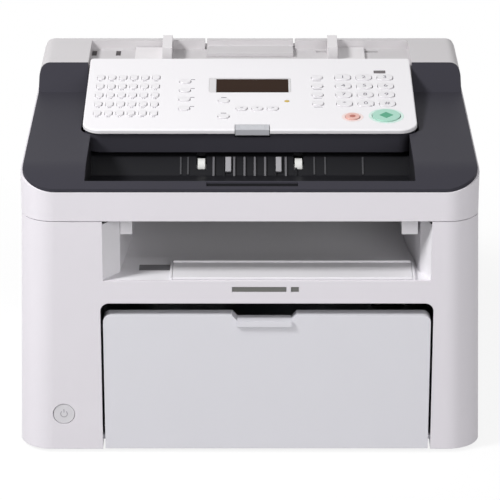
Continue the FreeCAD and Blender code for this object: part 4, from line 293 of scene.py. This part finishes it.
def grow_piece(name, body, slot, tree, points, material, tilt=0.0, **sizes):
    """Runs a tree on points and sizes in millimetres and keeps the result as a plain mesh."""
    seeds = bpy.data.meshes.new(f"{name}_points")
    seeds.from_pydata([Vector(point) * MM for point in points], [], [])
    carrier = bpy.data.objects.new(f"{name}_carrier", seeds)
    bpy.context.collection.objects.link(carrier)
    modifier = carrier.modifiers.new("grow", "NODES")
    modifier.node_group = tree
    for item in tree.interface.items_tree:
        if item.in_out != "INPUT" or item.socket_type == "NodeSocketGeometry":
            continue
        if item.name == "Material":
            modifier[item.identifier] = material
        elif item.name == "Tilt":
            modifier[item.identifier] = tilt
        else:
            modifier[item.identifier] = sizes[item.name.lower()] * MM
    bpy.context.view_layer.update()
    grown = carrier.evaluated_get(bpy.context.evaluated_depsgraph_get())
    mesh = bpy.data.meshes.new_from_object(grown)
    carrier.modifiers.remove(modifier)
    bpy.data.objects.remove(carrier)
    mesh_piece(name, body, mesh)


BOXES = box_tree()
for side, across, width in HORNS:
    grow_piece(
        f"slot_horn_{side}", "case", "light_grey_plastic", BOXES, [(across, HORN_BEHIND, HORN_LEVEL)],
        tray_plastic, width=width, depth=HORN_DEPTH, height=HORN_HEIGHT,
    )
# Painted shade: a thin dark grey sheet on the tray floor stands in for the shade of the finger hollow.
hollow_painted_shade = finish_material("hollow_painted_shade", linear(132, 130, 134), roughness=0.6, drift=0.05)
grow_piece(
    "floor_hollow_shade", "case", "light_grey_plastic", BOXES, [HOLLOW_SHADE_SPOT], hollow_painted_shade,
    width=25, depth=12, height=0.1,
)

# Outer case: the front shell, the side and back shell and the band of the scanner top, moulded in
# a grey-white plastic with a fine matt texture. The back is screwed to the floor pan, and a dark
# bar and a lamp window are glued into shallow pockets under the delivery slot.

MARKERS = (("bar", 7.4, 43.2), ("lamp", 36, 6))
MARKER_FRONT, MARKER_LEVEL = -159.3, 143.65
MARKER_DEPTH, MARKER_HEIGHT = 0.7, 3.9
case_white = finish_material(
    "case_white", linear(226, 222, 228), roughness=0.46, drift=0.03, grain_depth=0.14, edge_tone=0.04,
)
dress(case_white, "front_fascia", "rear_case", "top_band")
marker_grey = finish_material("marker_grey", linear(104, 104, 101), roughness=0.35, drift=0.08)
for part, across, width in MARKERS:
    grow_piece(
        f"marker_{part}", "case", "dark_plastic", BOXES, [(across, MARKER_FRONT, MARKER_LEVEL)],
        marker_grey, width=width, depth=MARKER_DEPTH, height=MARKER_HEIGHT,
    )

# Tray cover: the same plastic in a slightly darker batch, moulded in one piece with its pull lip.
# Two pins at its foot turn in ears on the floor pan, and it drops open in front of the paper.

cover_white = finish_material(
    "cover_white", linear(220, 219, 225), roughness=0.44, drift=0.03, grain_depth=0.12, edge_tone=0.04,
)
dress(cover_white, "tray_cover")

# Power button: a round moulded key in the left front, set just below the face of the shell and
# kept in by a rim behind the wall. A broken ring and a bar are printed on it.

BUTTON_SPOT = (-151.4, -159.6, 34.2)
SIGN_RADIUS, SIGN_LINE = 2.7, 0.7
SIGN_START, SIGN_SWEEP = math.radians(130), math.radians(280)
SIGN_RISE = 2.6
button_grey = finish_material("button_grey", linear(214, 212, 216), roughness=0.4, drift=0.03)
dress(button_grey, "power_button")


def ink(name, colour, roughness=0.5):
    """A printed colour, even and without grain."""
    return finish_material(name, colour, roughness=roughness, drift=0.0, grain_depth=0.0)


def loft(name, rings, closed):
    """A skin over rings of equal length; closed joins last to first, else both ends are capped."""
    shape = bmesh.new()
    loops = [[shape.verts.new(Vector(point) * MM) for point in ring] for ring in rings]
    pairs = list(zip(loops, loops[1:] + loops[:1])) if closed else list(zip(loops, loops[1:]))
    for near, far in pairs:
        for index in range(len(near)):
            after = (index + 1) % len(near)
            shape.faces.new((near[index], near[after], far[after], far[index]))
    if not closed:
        shape.faces.new(loops[0])
        shape.faces.new(loops[-1])
    bmesh.ops.recalc_face_normals(shape, faces=shape.faces)
    mesh = bpy.data.meshes.new(name)
    shape.to_mesh(mesh)
    shape.free()
    return mesh


def arc_ring(radius, width, height, start, sweep, steps):
    """Cross sections of a flat arc about the button's middle, from one end to the other."""
    rings = []
    for index in range(steps + 1):
        angle = start + sweep * index / steps
        ring = []
        for reach, depth in ((-width / 2, 0), (width / 2, 0), (width / 2, height), (-width / 2, height)):
            distance = radius + reach
            ring.append((distance * math.cos(angle), -depth, distance * math.sin(angle)))
        rings.append(ring)
    return rings


ink_pale = ink("ink_pale", linear(172, 168, 176), roughness=0.6)
arc = arc_ring(SIGN_RADIUS, SIGN_LINE, height=0.06, start=SIGN_START, sweep=SIGN_SWEEP, steps=32)
power_arc = loft("power_arc", arc, closed=False)
power_arc.transform(Matrix.Translation(Vector(BUTTON_SPOT) * MM))
mesh_piece("power_arc", "power_button", power_arc, ink_pale)
across, front, level = BUTTON_SPOT
grow_piece(
    "power_bar", "power_button", "light_grey_plastic", BOXES, [(across, front, level + SIGN_RISE)],
    ink_pale, width=SIGN_LINE, depth=0.12, height=3,
)

# Sockets and screws at the back: black socket bodies behind the shell with plated pins and gilt
# contact wires, and zinc screws that hold the shell to the pan. A thin dark cross on each screw head is
# painted shade for its cross recess.

SCREWS = [(x, 161.15, 15) for x in (-72, -30, 30, 72)]
CROSS_LENGTH, CROSS_WIDTH = 3.4, 0.7
JACKS = (-119, -99)
CONTACTS = 4
CONTACT_PITCH = 1.3
CONTACT_BEHIND, CONTACT_LEVEL = 153, 12
CONTACT_TILT = math.radians(-12)
INLET_SPOT = (126, 149, 17)
INLET_PINS = ((-7, -2), (0, 2), (7, -2))
socket_black = finish_material("socket_black", linear(30, 30, 31), roughness=0.5, drift=0.1)
dress(socket_black, "rear_sockets")
dress(zinc_steel, "case_screws")
# Painted shade: a thin dark cross on each screw head stands in for the shade in its cross recess.
recess_painted_shade = finish_material("recess_painted_shade", linear(40, 40, 42), metallic=0.6, roughness=0.5, drift=0.0)
for lie, width, height in (("level", CROSS_LENGTH, CROSS_WIDTH), ("upright", CROSS_WIDTH, CROSS_LENGTH)):
    grow_piece(
        f"screw_slots_{lie}", "case", "steel", BOXES, SCREWS, recess_painted_shade, width=width, depth=0.2,
        height=height,
    )
gilt = finish_material("gilt_wire", linear(214, 178, 92), metallic=1.0, roughness=0.25, drift=0.05)
wires = [
    (jack + (index - (CONTACTS - 1) / 2) * CONTACT_PITCH, CONTACT_BEHIND, CONTACT_LEVEL)
    for jack in JACKS for index in range(CONTACTS)
]
grow_piece(
    "jack_contacts", "case", "steel", BOXES, wires, gilt, tilt=CONTACT_TILT,
    width=0.5, depth=8, height=0.4,
)
across, behind, level = INLET_SPOT
pins = [(across + offset, behind, level + rise) for offset, rise in INLET_PINS]
grow_piece("inlet_pins", "case", "steel", BOXES, pins, bright_wire, width=2, depth=12, height=4)

# Scanner top: a dark moulded cover over the white band, with the black document chute below it. A thin
# near-black sheet on the front strip is painted shade in the finger notch there; grey ribs and two pinch
# blocks stand on the ramp that documents leave over.

NOTCH_SHADE_LEFT, NOTCH_SHADE_RIGHT = -34.3, 37.8
NOTCH_SHADE_FRONT, NOTCH_SHADE_BACK = (-157.3, 229.59), (-153.4, 231.36)
NOTCH_SHADE_DEPTH = 0.15
RAMP_FOOT, RAMP_TOP = Vector((0, -68.1, 206.6)), Vector((0, -52.1, 217.9))
RIB_FIRST, RIB_PITCH = -30, 8.5
RIB_STEPS = (0, 2, 3, 4, 5, 7)
FAR_RIBS = (-57, -51, 53, 62, 93)
FAR_RIB_BACK = 1.6
PINCH_BLOCKS = (-17.9, 23.6)
PINCH_BACK, PINCH_RISE = 1.2, 1.2
RIB_SPARE, FAR_RIB_SPARE, PINCH_SPARE = 0.4, 2, 5
cover_dark = finish_material(
    "cover_dark", linear(60, 59, 66), shine=0.03, roughness=0.4, drift=0.1, grain_depth=0.2,
    edge_tone=0.3,
)
dress(cover_dark, "top_cover", "panel_base")
chute_black = finish_material(
    "chute_black", linear(30, 30, 33), shine=0.15, roughness=0.4, drift=0.12, grain_depth=0.2,
)
dress(chute_black, "document_chute")
wheel_white = finish_material("wheel_white", linear(224, 224, 222), roughness=0.4, drift=0.03)
dress(wheel_white, "document_exit_roller")
# Painted shade: the near-black sheet darkens the finger notch in the front strip.
notch_painted_shade = finish_material("notch_painted_shade", linear(20, 20, 23), shine=0.1, roughness=0.75, drift=0.1)
notch_shade_ends = [
    [(x, y, z + lift) for y, z, lift in (
        (*NOTCH_SHADE_FRONT, 0), (*NOTCH_SHADE_BACK, 0), (*NOTCH_SHADE_BACK, NOTCH_SHADE_DEPTH), (*NOTCH_SHADE_FRONT, NOTCH_SHADE_DEPTH),
    )] for x in (NOTCH_SHADE_LEFT, NOTCH_SHADE_RIGHT)
]
notch_shade_mesh = loft("finger_notch_shade", notch_shade_ends, closed=False)
mesh_piece("finger_notch_shade", "scanner_top", notch_shade_mesh, notch_painted_shade)
ramp = RAMP_TOP - RAMP_FOOT
ramp_tilt = math.atan2(ramp.z, ramp.y)
ramp_middle = (RAMP_TOP + RAMP_FOOT) / 2


def on_ramp(across, back=0.0, rise=0.0):
    """A point halfway up the ramp, then moved back and up."""
    return ramp_middle + Vector((across, back, rise))


rib_grey = finish_material("rib_grey", linear(100, 99, 103), roughness=0.4, drift=0.1)
ribs = [on_ramp(RIB_FIRST + step * RIB_PITCH) for step in RIB_STEPS]
grow_piece(
    "ramp_ribs", "scanner_top", "dark_plastic", BOXES, ribs, rib_grey, tilt=ramp_tilt,
    width=1.7, depth=ramp.length - RIB_SPARE, height=0.5,
)
rib_dark = finish_material("rib_dark", linear(66, 66, 69), roughness=0.4, drift=0.1)
far_ribs = [on_ramp(across, FAR_RIB_BACK) for across in FAR_RIBS]
grow_piece(
    "far_ribs", "scanner_top", "dark_plastic", BOXES, far_ribs, rib_dark, tilt=ramp_tilt,
    width=1.4, depth=ramp.length - FAR_RIB_SPARE, height=0.8,
)
block_grey = finish_material("block_grey", linear(158, 157, 161), roughness=0.4, drift=0.1)
blocks = [on_ramp(across, PINCH_BACK, PINCH_RISE) for across in PINCH_BLOCKS]
grow_piece(
    "pinch_blocks", "scanner_top", "dark_plastic", BOXES, blocks, block_grey, tilt=ramp_tilt,
    width=4.6, depth=ramp.length - PINCH_SPARE, height=1.6,
)

# Rear deck and document guides: light grey mouldings behind the panel, the guides sliding on racks
# under the document bed. Two slots in the bed's floor at its left end are not cut; thin dark sheets
# there are painted shade for the dark inside of the slots.

BED_SLOT_SHADES = [(x, 129, 250.02) for x in (-136.9, -115.8)]
deck_grey = finish_material(
    "deck_grey", linear(202, 199, 201), roughness=0.48, drift=0.04, grain_depth=0.14,
)
dress(deck_grey, "rear_deck", "document_support")
guide_white = finish_material(
    "guide_white", linear(226, 223, 225), roughness=0.45, drift=0.03, grain_depth=0.12,
)
dress(guide_white, "left_document_guide", "right_document_guide")
# Painted shade: thin dark sheets stand in for the shade inside the two bed slots.
slot_painted_shade = finish_material("slot_painted_shade", linear(70, 66, 68), roughness=0.7, drift=0.0)
grow_piece(
    "bed_slot_shades", "scanner_top", "deck_plastic", BOXES, BED_SLOT_SHADES, slot_painted_shade,
    width=4.2, depth=13, height=0.1,
)

# Operation panel: a white moulded cover on a dark tub, hinged at its rear. The dark display window
# lies in a pale mask; a small lamp and a lamp window are set almost level with the face.

PANEL_TILT = math.radians(5.9)
PANEL_EDGE = Vector((0, -57, 243))
MASKS = (
    ("left", (-31.6, 90), 6, 29.6),
    ("right", (33.6, 90), 2, 29.6),
    ("rear", (2, 104), 61.4, 1.6),
)
MASK_LEVEL, MASK_HEIGHT = -0.25, 0.4
AMBER_SPOT = (31, 57)
WINDOW_SPOT = (111, 117.5)
STUD_SIDES = 40
panel_white = finish_material(
    "panel_white", linear(236, 234, 237), roughness=0.42, drift=0.02, grain_depth=0.1,
)
dress(panel_white, "panel_cover")
display_dark = finish_material(
    "display_dark", linear(58, 46, 40), shine=0.0, roughness=0.2, drift=0.1, grain_depth=0.0,
)
dress(display_dark, "lcd_window")


def on_slope(across, along, above):
    """A point of the panel in millimetres: across it, along its slope and above its face."""
    return PANEL_EDGE + Matrix.Rotation(PANEL_TILT, 3, "X") @ Vector((across, along, above))


def set_flat(name, slot, material, spots, above, height, **sizes):
    """Thin boxes laid on the panel's slope."""
    points = [on_slope(across, along, above) for across, along in spots]
    grow_piece(name, "panel", slot, BOXES, points, material, tilt=PANEL_TILT, height=height, **sizes)


mask_white = finish_material("mask_white", linear(214, 212, 214), roughness=0.35, drift=0.02)
for side, spot, width, depth in MASKS:
    set_flat(
        f"mask_{side}", "panel_plastic", mask_white, [spot], above=MASK_LEVEL, height=MASK_HEIGHT,
        width=width, depth=depth,
    )


def disc_tree():
    """A flat round stud on every point."""
    tree, inside, out = geometry_tree("set_studs", ("Radius", "Height", "Tilt"))
    stud = add(tree, "GeometryNodeMeshCylinder")
    stud.inputs["Vertices"].default_value = STUD_SIDES
    link(tree, inside.outputs["Radius"], stud.inputs["Radius"])
    link(tree, inside.outputs["Height"], stud.inputs["Depth"])
    return end_tree(tree, inside, out, stud.outputs["Mesh"])


STUDS = disc_tree()
amber = finish_material("amber_lens", linear(196, 166, 70), roughness=0.25, drift=0.0)
grow_piece(
    "amber_lamp", "panel", "display", STUDS, [on_slope(*AMBER_SPOT, 0)], amber, tilt=PANEL_TILT,
    radius=2.2, height=0.3,
)
lens_dark = finish_material("lens_dark", linear(92, 84, 88), roughness=0.2, drift=0.0)
set_flat(
    "lamp_window", "display", lens_dark, [WINDOW_SPOT], above=0, height=0.2, width=10, depth=6,
)

# Keys: moulded caps that stand a little proud of the panel, each with a rim below that keeps it in.
# Figures and signs are printed on the caps or beside them, and a tinted ring is printed around
# each of the two round keys.

KEY_TOP = 0.9
INK = 0.05
MARK_HEIGHT = 0.1
ROWS = (("star", "0", "hash"), ("7", "8", "9"), ("4", "5", "6"), ("1", "2", "3"))
SIGNS = {"star": "*", "hash": "#"}
NUMBER_LEFT, NUMBER_FRONT = 79, 51.5
NUMBER_PITCH, ROW_PITCH = 18, 17.9
TOUCH_ROWS, TOUCH_COLUMNS = 5, 6
TOUCH_LEFT, TOUCH_FRONT = -127, 32.5
TOUCH_PITCH, TOUCH_ROW_PITCH = 9.4, 18.2
TOUCH_FIGURE_DROP = 6.6
SIDE_MARKS = [(-48.5, 46.5 + 18.3 * row) for row in range(4)]
DIAL_MARKS = [(57, 45 + ROW_PITCH * row) for row in range(4)]
MENU_MARKS = [(-22, 33), (-22, 64.5)]
ARROWS = [("<", -7, 42), ("+", 6, 42), (">", 19, 42)]
STOP_SPOT, START_SPOT = (85, 25.5), (113, 27.5)
RING_STEPS = 64
key_white = finish_material("key_white", linear(230, 228, 231), roughness=0.36, drift=0.02)
number_keys = [name for name in nodes if name.startswith("number_key")]
dress(key_white, "one_touch_keys", "function_keys", *number_keys)
start_green = finish_material("start_green", linear(164, 211, 193), roughness=0.3, drift=0.04)
dress(start_green, "start_key")
stop_red = finish_material("stop_red", linear(226, 178, 168), roughness=0.3, drift=0.04)
dress(stop_red, "stop_key")
ink_grey = ink("ink_grey", linear(126, 122, 132), roughness=0.6)


def printed(name, body, marks, size, above):
    """Figures in grey ink; marks are text with its place across and along the panel."""
    gathered = bmesh.new()
    for figure, across, along in marks:
        curve = bpy.data.curves.new("figure", "FONT")
        curve.body = figure
        curve.size = size * MM
        curve.resolution_u = 3
        curve.align_x = "CENTER"
        curve.align_y = "CENTER"
        curve.extrude = INK * MM
        holder = bpy.data.objects.new("figure", curve)
        bpy.context.collection.objects.link(holder)
        bpy.context.view_layer.update()
        shaped = holder.evaluated_get(bpy.context.evaluated_depsgraph_get())
        flat = bpy.data.meshes.new_from_object(shaped)
        bpy.data.objects.remove(holder)
        place = Matrix.Translation(on_slope(across, along, above) * MM)
        flat.transform(place @ Matrix.Rotation(PANEL_TILT, 4, "X"))
        gathered.from_mesh(flat)
    mesh = bpy.data.meshes.new(name)
    gathered.to_mesh(mesh)
    gathered.free()
    mesh_piece(name, body, mesh, ink_grey)


for row, names in enumerate(ROWS):
    for column, figure in enumerate(names):
        place = (NUMBER_LEFT + NUMBER_PITCH * column, NUMBER_FRONT + ROW_PITCH * row)
        mark = (SIGNS.get(figure, figure), *place)
        printed(f"figure_{figure}", f"number_key_{figure}", [mark], size=7.5, above=KEY_TOP)

one_touch_marks = [
    (
        f"{(TOUCH_ROWS - 1 - row) * TOUCH_COLUMNS + column + 1:02d}",
        TOUCH_LEFT + TOUCH_PITCH * column,
        TOUCH_FRONT + TOUCH_ROW_PITCH * row - TOUCH_FIGURE_DROP,
    )
    for row in range(TOUCH_ROWS) for column in range(TOUCH_COLUMNS)
]
printed("one_touch_figures", "panel", one_touch_marks, size=3.2, above=0)
for keys, colour, spots, width, depth in (
    ("side", ink_grey, SIDE_MARKS, 3.6, 1.1),
    ("dial", ink_pale, DIAL_MARKS, 7, 1),
    ("menu", ink_grey, MENU_MARKS, 4.5, 1.1),
):
    set_flat(
        f"{keys}_key_marks", "latch_plastic", colour, spots, above=0, height=MARK_HEIGHT,
        width=width, depth=depth,
    )
printed("arrow_figures", "function_keys", ARROWS, size=5, above=KEY_TOP)


def around(spot, radius, level, count):
    """Points evenly spaced on a circle about a place of the panel."""
    across, along = spot
    angles = [2 * math.pi * index / count for index in range(count)]
    return [on_slope(across + radius * math.cos(a), along + radius * math.sin(a), level) for a in angles]


def key_ring(name, material, spot, inner, outer):
    """A tinted ring printed on the panel around a round key."""
    edges = ((inner, 0), (outer, 0), (outer, INK), (inner, INK))
    rings = [around(spot, radius, level, RING_STEPS) for radius, level in edges]
    mesh_piece(name, "panel", loft(name, rings, closed=True), material)


def key_mark(name, body, material, spot, reach, corners):
    """A printed mark with equal corners in the middle of a round key."""
    rings = [around(spot, reach, level, corners) for level in (KEY_TOP, KEY_TOP + INK)]
    mesh_piece(name, body, loft(name, rings, closed=False), material)


pink_ink = ink("pink_ink", linear(238, 220, 217))
key_ring("stop_ring", pink_ink, STOP_SPOT, inner=6.6, outer=9)
mint_ink = ink("mint_ink", linear(210, 233, 225))
key_ring("start_ring", mint_ink, START_SPOT, inner=12.1, outer=14.6)
leaf_ink = ink("leaf_ink", linear(78, 158, 126))
key_mark("start_mark", "start_key", leaf_ink, START_SPOT, reach=6, corners=4)
brick_ink = ink("brick_ink", linear(176, 104, 92))
key_mark("stop_mark", "stop_key", brick_ink, STOP_SPOT, reach=2.6, corners=8)

# Panel latch: a grey moulded tab that swings on a cross pin in the panel's front edge. Three low
# ridges across it give the finger a hold; they are coloured paler than the tab as a painted highlight.

RIDGE_MIDDLE = 1.9
RIDGE_PLACES = (3.5, 5.5, 7.5)
latch_grey = finish_material("latch_grey", linear(186, 187, 192), roughness=0.4, drift=0.05)
dress(latch_grey, "panel_latch")
# Painted highlight: the ridges get a paler copy of the tab's grey.
ridge_painted_highlight = finish_material("ridge_painted_highlight", linear(206, 207, 211), roughness=0.4, drift=0.05)
ridges = [on_slope(RIDGE_MIDDLE, along, 0) for along in RIDGE_PLACES]
grow_piece(
    "latch_ridges", "panel_latch", "latch_plastic", BOXES, ridges, ridge_painted_highlight, tilt=PANEL_TILT,
    width=20, depth=0.7, height=0.5,
)

# Studio: a white floor that fades into the white behind it and keeps a soft shadow, three round
# lamps, and the camera at the photograph's angle.

CAMERA_PLACE = (0, -2.260, 1.0049)
CAMERA_TILT = math.radians(68.5)
CAMERA_LENS, CAMERA_SENSOR = 204.34, 36
FLOOR_HALF = 6
FLOOR_SHARE = 0.85
FLOOR_TONE = 0.95
FLOOR_BOUNCE = 0.32
FLOOR_ROUGHNESS = 0.9
SHADOW_NEAR, SHADOW_FAR = 0.3, 0.55
AMBIENT = 0.3

camera_data = bpy.data.cameras.new("camera")
camera_data.lens = CAMERA_LENS
camera_data.sensor_width = CAMERA_SENSOR
camera = bpy.data.objects.new("camera", camera_data)
camera.location = CAMERA_PLACE
camera.rotation_euler = (CAMERA_TILT, 0, 0)
bpy.context.collection.objects.link(camera)
bpy.context.scene.camera = camera

floor_mesh = bpy.data.meshes.new("floor")
floor_corners = [(x * FLOOR_HALF, y * FLOOR_HALF, 0) for x, y in ((-1, -1), (1, -1), (1, 1), (-1, 1))]
floor_mesh.from_pydata(floor_corners, [], [(0, 1, 2, 3)])
floor = bpy.data.objects.new("floor", floor_mesh)
bpy.context.collection.objects.link(floor)


def white_behind(tree, lit, seen):
    """Mixes a lit surface with plain white, and gives a mask of the rays that should see the white."""
    path = add(tree, "ShaderNodeLightPath")
    either = add(tree, "ShaderNodeMath", operation="MAXIMUM")
    link(tree, path.outputs["Is Camera Ray"], either.inputs[0])
    link(tree, path.outputs["Is Glossy Ray"], either.inputs[1])
    any_seen = add(tree, "ShaderNodeMath", operation="MAXIMUM")
    link(tree, either.outputs[0], any_seen.inputs[0])
    link(tree, path.outputs["Is Transmission Ray"], any_seen.inputs[1])
    mix = add(tree, "ShaderNodeMixShader")
    link(tree, lit, mix.inputs[1])
    link(tree, seen, mix.inputs[2])
    return any_seen.outputs[0], mix


def floor_white():
    """A matt floor that shows white to the eye, less so close to the machine where its shadow lies."""
    material = bpy.data.materials.new("floor_white")
    material.use_nodes = True
    tree = material.node_tree
    matt = tree.nodes["Principled BSDF"]
    matt.inputs["Roughness"].default_value = FLOOR_ROUGHNESS
    glow = add(tree, "ShaderNodeEmission")
    any_seen, mix = white_behind(tree, matt.outputs[0], glow.outputs[0])
    tint = add(tree, "ShaderNodeMix", data_type="RGBA")
    tint.inputs["A"].default_value = (FLOOR_BOUNCE, FLOOR_BOUNCE, FLOOR_BOUNCE, 1)
    tint.inputs["B"].default_value = (FLOOR_TONE, FLOOR_TONE, FLOOR_TONE, 1)
    link(tree, any_seen, tint.inputs["Factor"])
    link(tree, tint.outputs["Result"], matt.inputs["Base Color"])
    reach = add(tree, "ShaderNodeVectorMath", operation="LENGTH")
    link(tree, add(tree, "ShaderNodeTexCoord").outputs["Object"], reach.inputs[0])
    fade = map_range(tree, SHADOW_NEAR, SHADOW_FAR, FLOOR_SHARE, 1)
    link(tree, reach.outputs["Value"], fade.inputs["Value"])
    share = add(tree, "ShaderNodeMath", operation="MULTIPLY")
    link(tree, any_seen, share.inputs[0])
    link(tree, fade.outputs["Result"], share.inputs[1])
    link(tree, share.outputs[0], mix.inputs[0])
    link(tree, mix.outputs[0], tree.nodes["Material Output"].inputs["Surface"])
    return material


floor_mesh.materials.append(floor_white())

world = bpy.data.worlds.new("studio")
bpy.context.scene.world = world
world.use_nodes = True
sky = world.node_tree
ambient = sky.nodes["Background"]
ambient.inputs["Color"].default_value = (1, 1, 1, 1)
ambient.inputs["Strength"].default_value = AMBIENT
plain = add(sky, "ShaderNodeBackground")
any_seen, mix = white_behind(sky, ambient.outputs[0], plain.outputs[0])
link(sky, any_seen, mix.inputs[0])
link(sky, mix.outputs[0], sky.nodes["World Output"].inputs["Surface"])


def soft_lamp(name, place, aim, width, power, mirrored=True):
    """A round lamp turned towards a point; mirrored says whether it shows in glossy surfaces."""
    data = bpy.data.lights.new(name, "AREA")
    data.shape = "DISK"
    data.size = width
    data.energy = power
    lamp = bpy.data.objects.new(name, data)
    lamp.location = place
    lamp.visible_glossy = mirrored
    lamp.rotation_euler = (Vector(aim) - Vector(place)).to_track_quat("-Z", "Y").to_euler()
    bpy.context.collection.objects.link(lamp)


soft_lamp("key_lamp", place=(-1.45, -0.8, 1.7), aim=(0, 0, 0.18), width=0.5, power=44)
soft_lamp("fill_lamp", place=(0.8, -2.3, 1.05), aim=(0, 0, 0.12), width=1.6, power=23)
soft_lamp("rear_lamp", place=(0.5, 2.3, 0.8), aim=(0, 0, 0.12), width=1.6, power=9, mirrored=False)

bpy.context.scene.view_settings.view_transform = "Standard"
